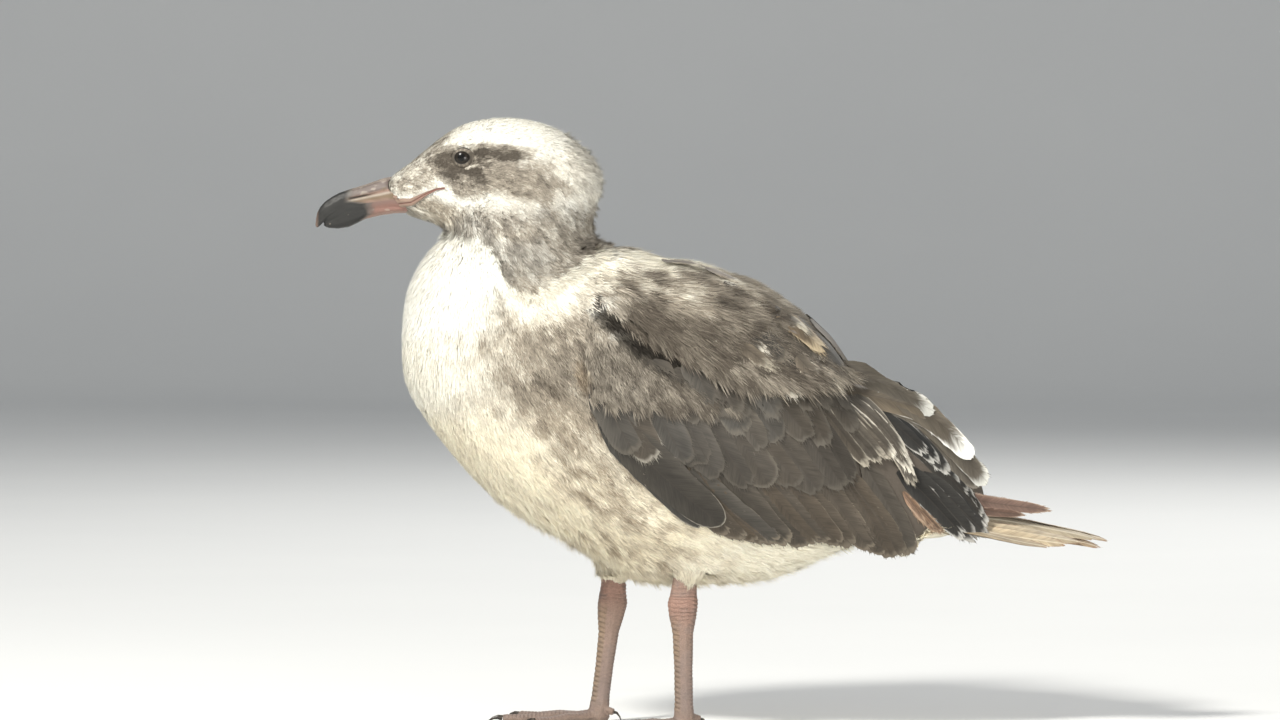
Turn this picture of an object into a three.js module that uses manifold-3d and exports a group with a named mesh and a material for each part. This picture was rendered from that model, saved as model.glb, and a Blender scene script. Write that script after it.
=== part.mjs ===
// A standing immature western gull, life size, in millimetres. +Z is up, the bill points to -X,
// and the bird's left side faces -Y. The neck is drawn in and the wings are folded over the tail.
import * as THREE from "three";
import { mergeVertices } from "three/addons/utils/BufferGeometryUtils.js";
import Module from "manifold-3d";

const wasm = await Module();
wasm.setup();

// ---------------------------------------------------------------- driving dimensions

const GAP = 0.3; // air between neighbouring solids
const WING_WALL = 5; // thickness of the folded wing over the body

const STANCE = {
  halfWidth: 27, // each leg from the middle plane
  toeSplay: 0.5, // radians between the middle toe and the ones beside it
  soleDepth: 0.6, // how much of each round toe is cut away to a flat
};

const EYE = { x: -104, y: 17.2, z: 333, radius: 6.2 };

// Body stations, from front to rear: [x, top, bottom, half width, height of the widest point].
// The first and last close the form in a point.
const TRUNK_STATIONS = [
  [-140.5, 223, 223, 0, 223],
  [-138.5, 252, 200, 20, 222.5],
  [-127, 277, 180, 38, 220],
  [-109, 291.5, 156, 53, 216.5],
  [-82, 294, 128.5, 64, 210],
  [-47, 290, 108.5, 69, 200.5],
  [-5, 281.5, 85, 71, 189],
  [35, 266, 83.5, 68, 177],
  [75, 243.5, 86, 58.5, 159.5],
  [112, 203, 101.5, 44, 137],
  [145, 156, 110.5, 28.5, 125],
  [176, 126, 112.5, 14, 118.5],
  [187, 118, 118, 0, 118],
];

// The outer face of the folded wings, in the same columns.
const WING_STATIONS = [
  [-41, 203, 203, 0, 203],
  [-36.5, 250, 159, 66, 203],
  [-24.5, 282, 130, 75, 198.5],
  [0, 280, 103.5, 79, 190],
  [40, 271, 95, 77, 173.5],
  [75, 254.5, 93, 72, 157],
  [107, 226.5, 94, 62, 140],
  [120, 206, 95, 56, 132.5],
  [134, 202.5, 94, 51, 122],
  [160, 193.5, 94, 39, 114],
  [182, 173, 97, 27, 110],
  [196, 153, 100, 19, 110],
  [203.5, 128, 128, 0, 128],
];

const HEAD_STATIONS = [
  [-151, 316, 316, 0, 316],
  [-148.5, 321, 311, 7, 315],
  [-138, 328.5, 299.5, 12.5, 313],
  [-122, 342, 295, 19, 315],
  [-104, 353.5, 286, 23.5, 317.5],
  [-80, 357, 283, 27.5, 319.5],
  [-56, 353, 286, 29.5, 320],
  [-36, 341, 297, 26, 320],
  [-25.5, 328, 308.5, 15, 319.5],
  [-23, 318, 318, 0, 318],
];

// Neck stations, from top to bottom: [z, front, rear, half width].
const NECK_STATIONS = [
  [329, -62, -62, 0],
  [326, -93.5, -31.5, 20],
  [309, -105.5, -26.5, 33],
  [289.5, -114, -28, 39],
  [267.5, -109, -24, 45],
  [252, -103, -24.5, 46.5],
  [243, -95, -30.5, 40],
  [237, -60, -60, 0],
];

const UPPER_BILL_STATIONS = [
  [-191, 293.2, 293.2, 0, 293.2],
  [-189.8, 301, 292, 2, 295],
  [-185.5, 307.3, 296, 3.6, 299],
  [-177, 312.6, 301.5, 4.9, 304],
  [-162, 317.3, 304.5, 6.2, 307],
  [-145, 323, 306.3, 8, 310],
  [-133, 324, 310, 8, 313],
  [-127, 316, 316, 0, 316],
];

const LOWER_BILL_STATIONS = [
  [-186.4, 293.4, 293.4, 0, 293.4],
  [-183, 297.5, 291.8, 2.8, 295],
  [-171.5, 304.5, 292.3, 4.6, 300],
  [-162, 305.5, 297, 5.4, 302],
  [-145, 307.5, 300.4, 7.4, 304],
  [-133, 307, 301.5, 7.5, 304.5],
  [-127, 304, 304, 0, 304],
];

// Tail stations: [x, height of the middle, half width, thickness, drop from middle to edge].
const TAIL_STATIONS = [
  [132, 129, 9, 7, 3],
  [150, 126, 11, 6, 4],
  [172, 124, 13, 4.5, 5],
  [198, 123, 15.5, 3, 8.5],
  [216, 120.5, 22, 2.6, 11],
  [238, 116.5, 28, 2.2, 10.5],
  [258, 113, 30, 1.8, 8],
  [270, 110.3, 25, 1.4, 6],
  [273, 109, 15, 1.2, 3],
];

// The folded wing seen from the side, as [x, z]: its front and lower edge, and the seams
// between its feather groups.
const WING_EDGE = [
  [34, 288], [28, 273], [-1, 266], [-24.5, 254], [-26, 232], [-36.5, 209], [-33, 190],
  [-13, 162], [22, 125], [69, 110.5], [110, 114], [140, 103.5], [156, 101.5], [163, 112],
  [180, 115], [193, 116], [198, 127], [209, 128],
];
const SCAPULAR_EDGE = [[-44, 254], [-13, 235], [13.5, 216], [47, 197.5], [78, 202], [128, 204]];
const SCAPULAR_END = [[128, 204], [133, 214], [134, 300]];
const COVERT_EDGE = [
  [-44, 182], [-13, 168], [4.5, 162], [54.5, 145.5], [110, 140.5], [130.5, 150.5], [138, 172],
  [128, 204],
];
const TERTIAL_FRONT = [[128, 204], [139, 176.5], [147, 162]];
const TERTIAL_EDGE = [[147, 162], [168.5, 144.5], [192, 134.5], [215, 130]];
const PRIMARY_FRONT = [[147, 162], [159.5, 135.5], [162, 118], [162, 90]];

// The outermost old primary, which stands out past the rest: [x, off the middle, z, half height].
const OLD_PRIMARY = {
  left: [[168, 19, 137, 5], [190, 15, 134.5, 5], [215, 11, 131.5, 4], [240, 9, 128.5, 0.8]],
  right: [[168, 19, 135, 5], [188, 15, 132, 5], [208, 11, 129, 4], [228, 9, 126.5, 0.8]],
  halfThickness: 0.7,
};

// Joints of each leg seen from the side, as [x, z].
const LEG_JOINTS = {
  left: { hip: [26.5, 104], ankle: [23.5, 74], foot: [24.5, 3.4] },
  right: { hip: [-16, 104], ankle: [-17.5, 70], foot: [-26, 3.4] },
};

// Girths of the bare leg: [from, to, share of the way, half depth fore and aft, half width].
const LEG_GIRTHS = [
  ["hip", "ankle", 0, 8, 6.5],
  ["hip", "ankle", 0.5, 7, 5.5],
  ["hip", "ankle", 0.8, 7.8, 5.6],
  ["hip", "ankle", 1, 8.9, 6.2],
  ["ankle", "foot", 0.11, 7.9, 5.4],
  ["ankle", "foot", 0.25, 6.1, 4.2],
  ["ankle", "foot", 0.55, 5.4, 3.9],
  ["ankle", "foot", 0.82, 5.4, 4],
  ["ankle", "foot", 0.94, 6.2, 5],
  ["ankle", "foot", 1, 5.4, 5],
];

// Feathered cuffs at the top of each leg: [height above the cuff's lower edge, half depth, half width].
const CUFF_BOTTOM = { left: 90, right: 84 };
const CUFF_GIRTHS = [[26, 17, 14], [14, 15, 12.5], [5, 11.5, 9.5], [0, 9.4, 7.4]];

// Toes: turn away from the middle toe in splays, length, and the radius at the root and the tip.
const TOES = {
  inner: { turn: -1, length: 42, root: 4.2, tip: 2.5 },
  middle: { turn: 0, length: 56, root: 4.4, tip: 2.6 },
  outer: { turn: 1, length: 53, root: 4.2, tip: 2.5 },
};
const WEB = { lift: 0.8, thickness: 1.4, reach: 0.93, scallop: 0.16 };
const HIND_TOE = { length: 7, radius: 2.3, height: 8.5, droop: 2.4, turn: 0.4 };
const CLAW = { length: 8.5, radius: 2, tip: 0.5, arch: 0.9, hindScale: 0.6 };

const COLOURS = {
  white: 0xe6e2d6,
  streaked: 0xb9b1a4,
  brown: 0x6b6158,
  darkBrown: 0x4a433d,
  black: 0x26231f,
  pale: 0xc4b193,
  pink: 0xc9938c,
  horn: 0x2b2624,
  bill: 0xb98a80,
  eye: 0x17120f,
};

// ---------------------------------------------------------------- rings and the skins over them

const vector = (...xyz) => new THREE.Vector3(...xyz);

/** A closed geometry over rings of points; a ring of one point closes its end to a tip. */
function skinRings(rings) {
  const around = Math.max(...rings.map((ring) => ring.length));
  const capped = [...rings];
  for (const [place, ring] of [["unshift", rings[0]], ["push", rings[rings.length - 1]]]) {
    if (ring.length === 1) continue;
    const centre = vector();
    ring.forEach((p) => centre.addScaledVector(p, 1 / ring.length));
    capped[place]([centre]);
  }
  const points = capped.flat();
  const starts = capped.map((_, ring) => capped.slice(0, ring).flat().length);
  const at = (ring, i) => starts[ring] + (capped[ring].length === 1 ? 0 : i % around);
  const index = [];
  for (let ring = 0; ring + 1 < capped.length; ring++) {
    for (let i = 0; i < around; i++) {
      const [a, b, c, d] = [at(ring, i), at(ring, i + 1), at(ring + 1, i), at(ring + 1, i + 1)];
      if (a !== b) index.push(a, b, c);
      if (c !== d) index.push(b, d, c);
    }
  }
  return new THREE.BufferGeometry().setFromPoints(points).setIndex(index);
}

/** Finer rings between the given ones: each point slides along a curve through every ring. */
function refine(rings, steps) {
  const around = Math.max(...rings.map((ring) => ring.length));
  const spans = rings.length - 1;
  const rails = Array.from({ length: around }, (_, i) => {
    const through = rings.map((ring) => (ring.length === 1 ? ring[0] : ring[i]));
    return new THREE.CatmullRomCurve3(through, false, "centripetal");
  });
  return Array.from({ length: spans * steps + 1 }, (_, step) => {
    const ring = rails.map((rail) => rail.getPoint(step / (spans * steps)));
    return step % steps === 0 && rings[step / steps].length === 1 ? [ring[0]] : ring;
  });
}

/** The side and height, each from -1 to 1, of one corner of a rounded section. */
function corner(k, around, power) {
  const angle = (2 * Math.PI * k) / around;
  const swell = (value) => Math.sign(value) * Math.abs(value) ** (2 / power);
  return [swell(Math.cos(angle)), swell(Math.sin(angle))];
}

/** Rings of a body that runs along X, grown by a margin on every side. */
function bodyRings(stations, around, grow = 0, power = 2) {
  return stations.map(([x, top, bottom, halfWidth, widest]) => {
    if (halfWidth === 0) return [vector(x + Math.sign(x - stations[1][0]) * grow, 0, top)];
    return Array.from({ length: around }, (_, k) => {
      const [side, up] = corner(k, around, power);
      const reach = up > 0 ? top - widest + grow : widest - bottom + grow;
      return vector(x, side * (halfWidth + grow), widest + up * reach);
    });
  });
}

/** Rings of a neck or limb that runs down along Z, off to one side by y. */
function uprightRings(stations, around, { y = 0, grow = 0, power = 2 } = {}) {
  return stations.map(([z, front, rear, halfWidth]) => {
    const middle = (front + rear) / 2;
    if (halfWidth === 0) return [vector(middle, y, z)];
    return Array.from({ length: around }, (_, k) => {
      const [fore, side] = corner(-k, around, power);
      const depth = (rear - front) / 2 + grow;
      return vector(middle + fore * depth, y + side * (halfWidth + grow), z);
    });
  });
}

/** Rings of a thin limb along a nearly level path of sections {at, high, wide}. */
function pathRings(sections, around) {
  return sections.map(({ at, high, wide }, i) => {
    const before = sections[Math.max(i - 1, 0)].at;
    const after = sections[Math.min(i + 1, sections.length - 1)].at;
    const along = vector().subVectors(after, before).normalize();
    const side = vector(-along.y, along.x, 0).normalize();
    const up = vector().crossVectors(along, side);
    return Array.from({ length: around }, (_, k) => {
      const [across, lift] = corner(k, around, 2);
      return at.clone().addScaledVector(side, across * wide).addScaledVector(up, lift * high);
    });
  });
}

// ---------------------------------------------------------------- joining and cutting

/** A solid from a closed geometry, turned the right way out if it was wound inwards. */
function solid(geometry) {
  const bare = geometry.clone();
  bare.deleteAttribute("normal");
  bare.deleteAttribute("uv");
  const merged = mergeVertices(bare, 1e-3);
  const vertProperties = merged.attributes.position.array;
  const triVerts = new Uint32Array(merged.index.array);
  const made = new wasm.Manifold(new wasm.Mesh({ numProp: 3, vertProperties, triVerts }));
  if (made.volume() > 0) return made;
  triVerts.reverse();
  return new wasm.Manifold(new wasm.Mesh({ numProp: 3, vertProperties, triVerts }));
}

/** The solid inside smoothed rings. */
function ringSolid(rings, steps = 2) {
  return solid(skinRings(refine(rings, steps)));
}

/** A side outline in [x, z], as a slab from y0 to y1. */
function sideSlab(outline, y0 = -200, y1 = 200) {
  const shape = new THREE.Shape(outline.map(([x, z]) => new THREE.Vector2(x, z)));
  const slab = new THREE.ExtrudeGeometry(shape, { depth: y1 - y0, bevelEnabled: false });
  return solid(slab.rotateX(Math.PI / 2).translate(0, y1, 0));
}

/** Points along a smooth side curve, moved off to one side of it. */
function sideCurve(points, off = 0) {
  const curve = new THREE.SplineCurve(points.map(([x, z]) => new THREE.Vector2(x, z)));
  const steps = Math.round(points.length * 1.4);
  return Array.from({ length: steps + 1 }, (_, i) => {
    const p = curve.getPoint(i / steps);
    const t = curve.getTangent(i / steps);
    return [p.x - t.y * off, p.y + t.x * off];
  });
}

/** A thin cut along a side curve, as wide as the gap. */
function seam(points) {
  return sideSlab([...sideCurve(points, GAP / 2), ...sideCurve(points, -GAP / 2).reverse()]);
}

const gull = new THREE.Group();

/** Adds a solid to the bird as a named mesh. */
function addNode(name, made, colour, roughness = 0.8) {
  const { numProp, vertProperties, triVerts, numVert } = made.getMesh();
  const position = new Float32Array(numVert * 3);
  for (let i = 0; i < numVert; i++)
    position.set(vertProperties.subarray(i * numProp, i * numProp + 3), i * 3);
  const geometry = new THREE.BufferGeometry()
    .setAttribute("position", new THREE.BufferAttribute(position, 3))
    .setIndex(new THREE.BufferAttribute(triVerts, 1));
  const material = new THREE.MeshStandardMaterial({ color: colour, roughness, metalness: 0 });
  const mesh = new THREE.Mesh(geometry, material);
  mesh.name = name;
  gull.add(mesh);
}

// ---------------------------------------------------------------- head, neck and trunk

const BODY_SIDES = 16;
const trunk = ringSolid(bodyRings(TRUNK_STATIONS, BODY_SIDES));
const trunkGrown = ringSolid(bodyRings(TRUNK_STATIONS, BODY_SIDES, GAP));
const headGrown = ringSolid(bodyRings(HEAD_STATIONS, BODY_SIDES, GAP));

/** An eyeball, or with a margin the socket that holds it. */
function eyeSolid(side, grow = 0) {
  const ball = new THREE.SphereGeometry(EYE.radius + grow, 10, 7);
  return solid(ball.rotateX(Math.PI / 2).translate(EYE.x, side * EYE.y, EYE.z));
}

/** Head and neck, parted from the chin to the nape, and standing on the trunk. */
function buildHeadAndNeck() {
  const head = ringSolid(bodyRings(HEAD_STATIONS, BODY_SIDES));
  const neck = ringSolid(uprightRings(NECK_STATIONS, BODY_SIDES, { power: 2.2 }));
  const sockets = eyeSolid(-1, GAP).add(eyeSolid(1, GAP));
  const whole = head.add(neck).subtract(trunkGrown).subtract(sockets);
  const chin = [-170, 275];
  const nape = [30, 309];
  const raise = ([x, z]) => [x, z + GAP];
  const above = [raise(chin), raise(nape), [30, 400], [-170, 400]];
  const below = [chin, nape, [30, 200], [-170, 200]];
  addNode("head", whole.intersect(sideSlab(above)), COLOURS.white);
  addNode("neck", whole.intersect(sideSlab(below)), COLOURS.streaked);
  addNode("eye_left", eyeSolid(-1), COLOURS.eye, 0.1);
  addNode("eye_right", eyeSolid(1), COLOURS.eye, 0.1);
}

/** The two halves of the bill, set against the feathered face. */
function buildBill() {
  const rings = (stations, grow) => bodyRings(stations, 12, grow, 2.2);
  const upper = ringSolid(rings(UPPER_BILL_STATIONS, 0));
  const upperGrown = ringSolid(rings(UPPER_BILL_STATIONS, GAP));
  const lower = ringSolid(rings(LOWER_BILL_STATIONS, 0)).subtract(upperGrown);
  addNode("bill_upper", upper.subtract(headGrown), COLOURS.bill, 0.4);
  addNode("bill_lower", lower.subtract(headGrown), COLOURS.bill, 0.4);
}

/** The trunk, parted into breast, belly and rump by slanting cuts. */
function buildTrunk() {
  const breastCut = [[-30, 320], [-75, 60]];
  const rumpCut = [[125, 320], [75, 60]];
  const back = ([x, z]) => [x + GAP, z];
  const outlines = {
    breast: [[-200, 320], ...breastCut, [-200, 60]],
    belly: [...breastCut.map(back), rumpCut[1], rumpCut[0]],
    rump: [...rumpCut.map(back), [250, 60], [250, 320]],
  };
  for (const [name, outline] of Object.entries(outlines))
    addNode(name, trunk.intersect(sideSlab(outline)), COLOURS.white);
}

// ---------------------------------------------------------------- wings and tail

const wingWall = ringSolid(bodyRings(WING_STATIONS, BODY_SIDES))
  .subtract(ringSolid(bodyRings(WING_STATIONS, BODY_SIDES, -WING_WALL), 1))
  .subtract(trunkGrown)
  .subtract(tailSolid(GAP))
  .intersect(sideSlab([...sideCurve(WING_EDGE), [209, 288]]));

/** One folded wing, a curved wall over the trunk, parted into its feather groups. */
function buildWing(name, side) {
  const [y0, y1] = side > 0 ? [GAP / 2, 120] : [-120, -GAP / 2];
  const half = sideSlab([[-60, 80], [260, 80], [260, 300], [-60, 300]], y0, y1);
  const seams = [
    SCAPULAR_EDGE, SCAPULAR_END, COVERT_EDGE, TERTIAL_FRONT, TERTIAL_EDGE, PRIMARY_FRONT,
  ];
  const wall = seams.reduce((left, edge) => left.subtract(seam(edge)), wingWall.intersect(half));
  const line = (edge) => sideCurve(edge);
  const back = (edge) => sideCurve(edge).reverse();
  const regions = {
    scapulars: [[-44, 300], ...line(SCAPULAR_EDGE), ...line(SCAPULAR_END)],
    coverts: [...line(SCAPULAR_EDGE), ...back(COVERT_EDGE)],
    secondaries: [...line(COVERT_EDGE), ...line(TERTIAL_FRONT), ...line(PRIMARY_FRONT), [-44, 90]],
    tertials: [...back(SCAPULAR_END), ...line(TERTIAL_FRONT), ...line(TERTIAL_EDGE), [215, 300]],
    primaries: [...line(TERTIAL_EDGE), [215, 90], ...back(PRIMARY_FRONT)],
  };
  const colours = {
    scapulars: COLOURS.brown,
    coverts: COLOURS.brown,
    secondaries: COLOURS.darkBrown,
    tertials: COLOURS.brown,
    primaries: COLOURS.black,
  };
  for (const [group, outline] of Object.entries(regions)) {
    const region = wall.intersect(sideSlab(outline));
    const piece =
      group === "primaries"
        ? region.add(oldPrimary(name, side))
        : region.subtract(oldPrimary(name, side, GAP));
    addNode(`${group}_${name}`, piece, colours[group]);
  }
}

/** The long worn primary that stands out behind the folded wing. */
function oldPrimary(name, side, grow = 0) {
  const wide = OLD_PRIMARY.halfThickness + grow;
  const sections = OLD_PRIMARY[name].map(([x, off, z, high]) => ({
    at: vector(x, side * off, z),
    high: high + grow,
    wide,
  }));
  return ringSolid(pathRings(sections, 8));
}

/** The tail, an arched fan that starts under the rump. */
function tailSolid(grow = 0) {
  const across = 8;
  const rings = TAIL_STATIONS.map(([x, middle, halfWidth, thickness, drop]) => {
    const face = (lift) =>
      Array.from({ length: across + 1 }, (_, i) => {
        const share = (2 * i) / across - 1;
        return vector(x, share * (halfWidth + grow), middle + lift - drop * share ** 2);
      });
    return [...face(grow), ...face(-thickness - grow).reverse()];
  });
  return ringSolid(rings, 1);
}

// ---------------------------------------------------------------- legs and feet

/** The level direction in which a toe points, turned outward by some splays from straight ahead. */
function toeHeading(turn, side) {
  const angle = side * turn * STANCE.toeSplay;
  return vector(-Math.cos(angle), Math.sin(angle), 0);
}

/** One front toe, with a swelling at each joint. */
function toeSolid(root, heading, { length, root: thick, tip }) {
  const steps = 4;
  const sections = Array.from({ length: steps + 1 }, (_, i) => {
    const share = i / steps;
    const high = (thick + (tip - thick) * share) * (i % 2 ? 0.92 : 1.06);
    const at = root.clone().addScaledVector(heading, length * share);
    return { at: at.setZ(high - STANCE.soleDepth), high, wide: high * 1.1 };
  });
  return ringSolid(pathRings(sections, 6), 1);
}

/** A claw that curves down to the floor from a toe's end. */
function clawSolid(at, heading, scale = 1) {
  const steps = 3;
  const drop = at.z - CLAW.tip * scale;
  const sections = Array.from({ length: steps + 1 }, (_, i) => {
    const share = i / steps;
    const high = (CLAW.radius + (CLAW.tip - CLAW.radius) * share) * scale;
    const point = at.clone().addScaledVector(heading, CLAW.length * scale * share);
    point.z += scale * CLAW.arch * Math.sin(Math.PI * share) - drop * share ** 2;
    return { at: point, high, wide: high * 0.8 };
  });
  return ringSolid(pathRings(sections, 5), 1);
}

/** The web between the front toes, each of its front edges drawn back in a curve. */
function webSolid(root, side) {
  const tips = Object.values(TOES).map(({ turn, length }) =>
    root.clone().addScaledVector(toeHeading(turn, side), length * WEB.reach),
  );
  const shape = new THREE.Shape();
  shape.moveTo(root.x + 3, root.y);
  shape.lineTo(tips[0].x, tips[0].y);
  for (const i of [1, 2]) {
    const pull = tips[i - 1].clone().lerp(tips[i], 0.5).lerp(root, WEB.scallop);
    shape.quadraticCurveTo(pull.x, pull.y, tips[i].x, tips[i].y);
  }
  shape.closePath();
  const options = { depth: WEB.thickness, bevelEnabled: false, curveSegments: 3 };
  return solid(new THREE.ExtrudeGeometry(shape, options).translate(0, 0, WEB.lift));
}

/** The rings of one bare leg, from the body to the foot. */
function shankRings(name, y, grow = 0) {
  const joints = LEG_JOINTS[name];
  const stations = LEG_GIRTHS.map(([from, to, share, depth, halfWidth]) => {
    const [x, z] = joints[from].map((start, i) => start + (joints[to][i] - start) * share);
    return [z, x - depth, x + depth, halfWidth];
  });
  stations[stations.length - 1][0] -= grow;
  return uprightRings(stations, 10, { y, grow });
}

/** One leg: feathered cuff, bare shank, webbed foot and claws. */
function buildLeg(name, side) {
  const y = side * STANCE.halfWidth;
  const shank = ringSolid(shankRings(name, y), 1);
  const shankGrown = ringSolid(shankRings(name, y, GAP), 1);
  const root = vector(LEG_JOINTS[name].foot[0], y, 0);
  const aboveFloor = sideSlab([[-300, 0], [300, 0], [300, 60], [-300, 60]]);
  const claws = {};
  let foot = webSolid(root, side);
  for (const [toe, facts] of Object.entries(TOES)) {
    const heading = toeHeading(facts.turn, side);
    const end = root.clone().addScaledVector(heading, facts.length + GAP).setZ(facts.tip * 0.95);
    foot = foot.add(toeSolid(root, heading, facts));
    claws[toe] = clawSolid(end, heading);
  }
  const heel = new THREE.SphereGeometry(6.4, 8, 6).scale(1.05, 0.95, 0.8);
  foot = foot.add(solid(heel.translate(root.x + 0.5, y, 3.6)));

  const behind = vector(Math.cos(HIND_TOE.turn), -side * Math.sin(HIND_TOE.turn), 0);
  const high = HIND_TOE.radius;
  const hindStart = root.clone().addScaledVector(behind, 3).setZ(HIND_TOE.height);
  const hindEnd = hindStart.clone().addScaledVector(behind, HIND_TOE.length);
  hindEnd.z -= HIND_TOE.droop;
  const hindSections = [hindStart, hindEnd].map((at) => ({ at, high, wide: high }));
  foot = foot.add(ringSolid(pathRings(hindSections, 6), 1));
  foot = foot.subtract(shankGrown).intersect(aboveFloor);
  claws.hind = clawSolid(hindEnd.clone().addScaledVector(behind, GAP), behind, CLAW.hindScale);

  const [x] = LEG_JOINTS[name].hip;
  const cuffStations = CUFF_GIRTHS.map(([rise, depth, halfWidth]) => [
    CUFF_BOTTOM[name] + rise,
    x - depth,
    x + depth,
    halfWidth,
  ]);
  const cuff = ringSolid(uprightRings(cuffStations, 12, { y }), 1);
  addNode(`thigh_${name}`, cuff.subtract(trunkGrown).subtract(shankGrown), COLOURS.white);
  addNode(`shank_${name}`, shank.subtract(trunkGrown), COLOURS.pink, 0.5);
  addNode(`foot_${name}`, foot, COLOURS.pink, 0.5);
  for (const [toe, claw] of Object.entries(claws))
    addNode(`claw_${name}_${toe}`, claw.intersect(aboveFloor).subtract(foot), COLOURS.horn, 0.4);
}

// ---------------------------------------------------------------- the bird

buildHeadAndNeck();
buildBill();
buildTrunk();
addNode("tail", tailSolid().subtract(trunkGrown), COLOURS.pale);
for (const [name, side] of [["left", -1], ["right", 1]]) {
  buildWing(name, side);
  buildLeg(name, side);
}

// The origin is the middle of the bird's box, on the floor.
const box = new THREE.Box3().setFromObject(gull);
const middle = box.getCenter(vector());
gull.position.set(-middle.x, -middle.y, -box.min.z);

export default gull;
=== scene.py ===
"""A standing young gull, life size, finished for a museum case.

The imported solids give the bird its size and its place. Over the solids of flesh lies one skin,
and small soft feathers grow on it. The folded wings and the tail are built feather by feather,
and the bill, the eyes and the legs are finished over copies of their solids. Lengths are in
metres, +Z is up, the bill points to -X and the bird's left side faces -Y.
"""

import itertools
import logging
import math
from dataclasses import dataclass, field, replace
from enum import Enum

import bpy
import numpy as np
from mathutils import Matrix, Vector
from mathutils.bvhtree import BVHTree

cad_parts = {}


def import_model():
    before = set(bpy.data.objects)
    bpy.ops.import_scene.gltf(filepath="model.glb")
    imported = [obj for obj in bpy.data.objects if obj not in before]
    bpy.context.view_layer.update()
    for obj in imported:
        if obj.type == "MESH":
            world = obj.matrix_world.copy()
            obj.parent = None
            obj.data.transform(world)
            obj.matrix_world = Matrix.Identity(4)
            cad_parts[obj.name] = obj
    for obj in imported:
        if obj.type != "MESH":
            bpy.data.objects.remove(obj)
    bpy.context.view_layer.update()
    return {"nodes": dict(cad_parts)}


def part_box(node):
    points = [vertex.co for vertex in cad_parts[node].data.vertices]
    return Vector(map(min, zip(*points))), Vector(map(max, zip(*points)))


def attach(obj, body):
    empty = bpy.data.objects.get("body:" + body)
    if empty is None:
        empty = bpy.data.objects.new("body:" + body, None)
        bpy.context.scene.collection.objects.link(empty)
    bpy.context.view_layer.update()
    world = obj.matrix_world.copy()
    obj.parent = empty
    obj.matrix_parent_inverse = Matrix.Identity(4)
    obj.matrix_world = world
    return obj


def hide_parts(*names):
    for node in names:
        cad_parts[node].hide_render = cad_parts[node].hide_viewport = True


LOG = logging.getLogger("gull")
MM = 0.001
BODY = "root"

Colour = tuple[float, float, float]


class Side(Enum):
    """A flank of the bird: the value is the sign of Y on that side."""

    LEFT = -1
    RIGHT = 1

    @property
    def label(self) -> str:
        """The side's name as the nodes carry it."""
        return self.name.lower()


# -------------------- numbers and places


def smooth_step(value: np.ndarray, low: float, high: float) -> np.ndarray:
    """Ease from 0 at one value to 1 at another.

    Args:
        value: The values to ease.
        low: Where the result is 0.
        high: Where the result is 1; it may lie below low.

    Returns:
        The eased values.
    """
    share = np.clip((value - low) / (high - low), 0.0, 1.0)
    return share * share * (3.0 - 2.0 * share)


def unit(vectors: np.ndarray) -> np.ndarray:
    """Scale vectors to length 1, leaving zero vectors alone."""
    length = np.linalg.norm(vectors, axis=-1, keepdims=True)
    return vectors / np.maximum(length, 1e-12)


def lay_on(direction: np.ndarray, normals: np.ndarray) -> np.ndarray:
    """Lay directions flat on the surface that has the given normals."""
    return unit(direction - (direction * normals).sum(-1, keepdims=True) * normals)


def along_route(route: np.ndarray, shares: np.ndarray) -> np.ndarray:
    """Find points along a broken line by their share of its length.

    Args:
        route: The line's points, one row each.
        shares: Shares of the whole length, from 0 to 1.

    Returns:
        One point for each share.
    """
    steps = np.linalg.norm(np.diff(route, axis=0), axis=1)
    reach = np.concatenate([[0.0], np.cumsum(steps)])
    wanted = np.clip(shares, 0.0, 1.0) * reach[-1]
    return np.stack([np.interp(wanted, reach, column) for column in route.T], axis=1)


class BlotchNoise:
    """Smooth random values in space, the same on every run."""

    def __init__(self, seed: int, size: int = 32) -> None:
        """Fill the lattice of values.

        Args:
            seed: Which pattern to draw.
            size: Cells along each side before the pattern repeats.
        """
        self.size = size
        draws = np.random.default_rng(seed)
        self.values = draws.uniform(-1.0, 1.0, (size, size, size))

    def at(self, points: np.ndarray, grain: float) -> np.ndarray:
        """Read the noise at points.

        Args:
            points: Places, one row each.
            grain: The size of one blotch.

        Returns:
            A value from -1 to 1 for each point.
        """
        cells = points / grain
        low = np.floor(cells).astype(int)
        share = cells - low
        share = share * share * (3.0 - 2.0 * share)
        total = np.zeros(len(points))
        for corner in itertools.product((0, 1), repeat=3):
            i, j, k = ((low + corner) % self.size).T
            weight = np.where(np.array(corner) == 1, share, 1.0 - share).prod(axis=1)
            total += weight * self.values[i, j, k]
        return total

    def layered(self, points: np.ndarray, grain: float, layers: int = 3) -> np.ndarray:
        """Add finer and fainter layers of the noise.

        Args:
            points: Places, one row each.
            grain: The size of the largest blotches.
            layers: How many layers to add, each half the size of the last.

        Returns:
            A value of about -1 to 1 for each point.
        """
        rows = (self.at(points, grain / 2**n) / 2**n for n in range(layers))
        return sum(rows, np.zeros(len(points)))


@dataclass(frozen=True)
class Landmarks:
    """Places on the bird, read from the boxes of its nodes."""

    def spot(self, node: str, along: float, up: float) -> np.ndarray:
        """Find a place in the side view of a node.

        Args:
            node: The node's name.
            along: Share of its length, from its front.
            up: Share of its height, from its underside.

        Returns:
            The place as X and Z.
        """
        low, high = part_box(node)
        return np.array([low.x + along * (high.x - low.x), low.z + up * (high.z - low.z)])

    def line(self, node: str, *shares: tuple[float, float]) -> np.ndarray:
        """Find several places in the side view of a node, one row each."""
        return np.array([self.spot(node, along, up) for along, up in shares])


def middle_of(node: str) -> np.ndarray:
    """The middle of a node's box."""
    low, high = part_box(node)
    return np.array((low + high) / 2)


def above_line(points: np.ndarray, line: np.ndarray) -> np.ndarray:
    """How far points lie above a line in the side view."""
    return points[:, 2] - np.interp(points[:, 0], line[:, 0], line[:, 1])


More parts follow.
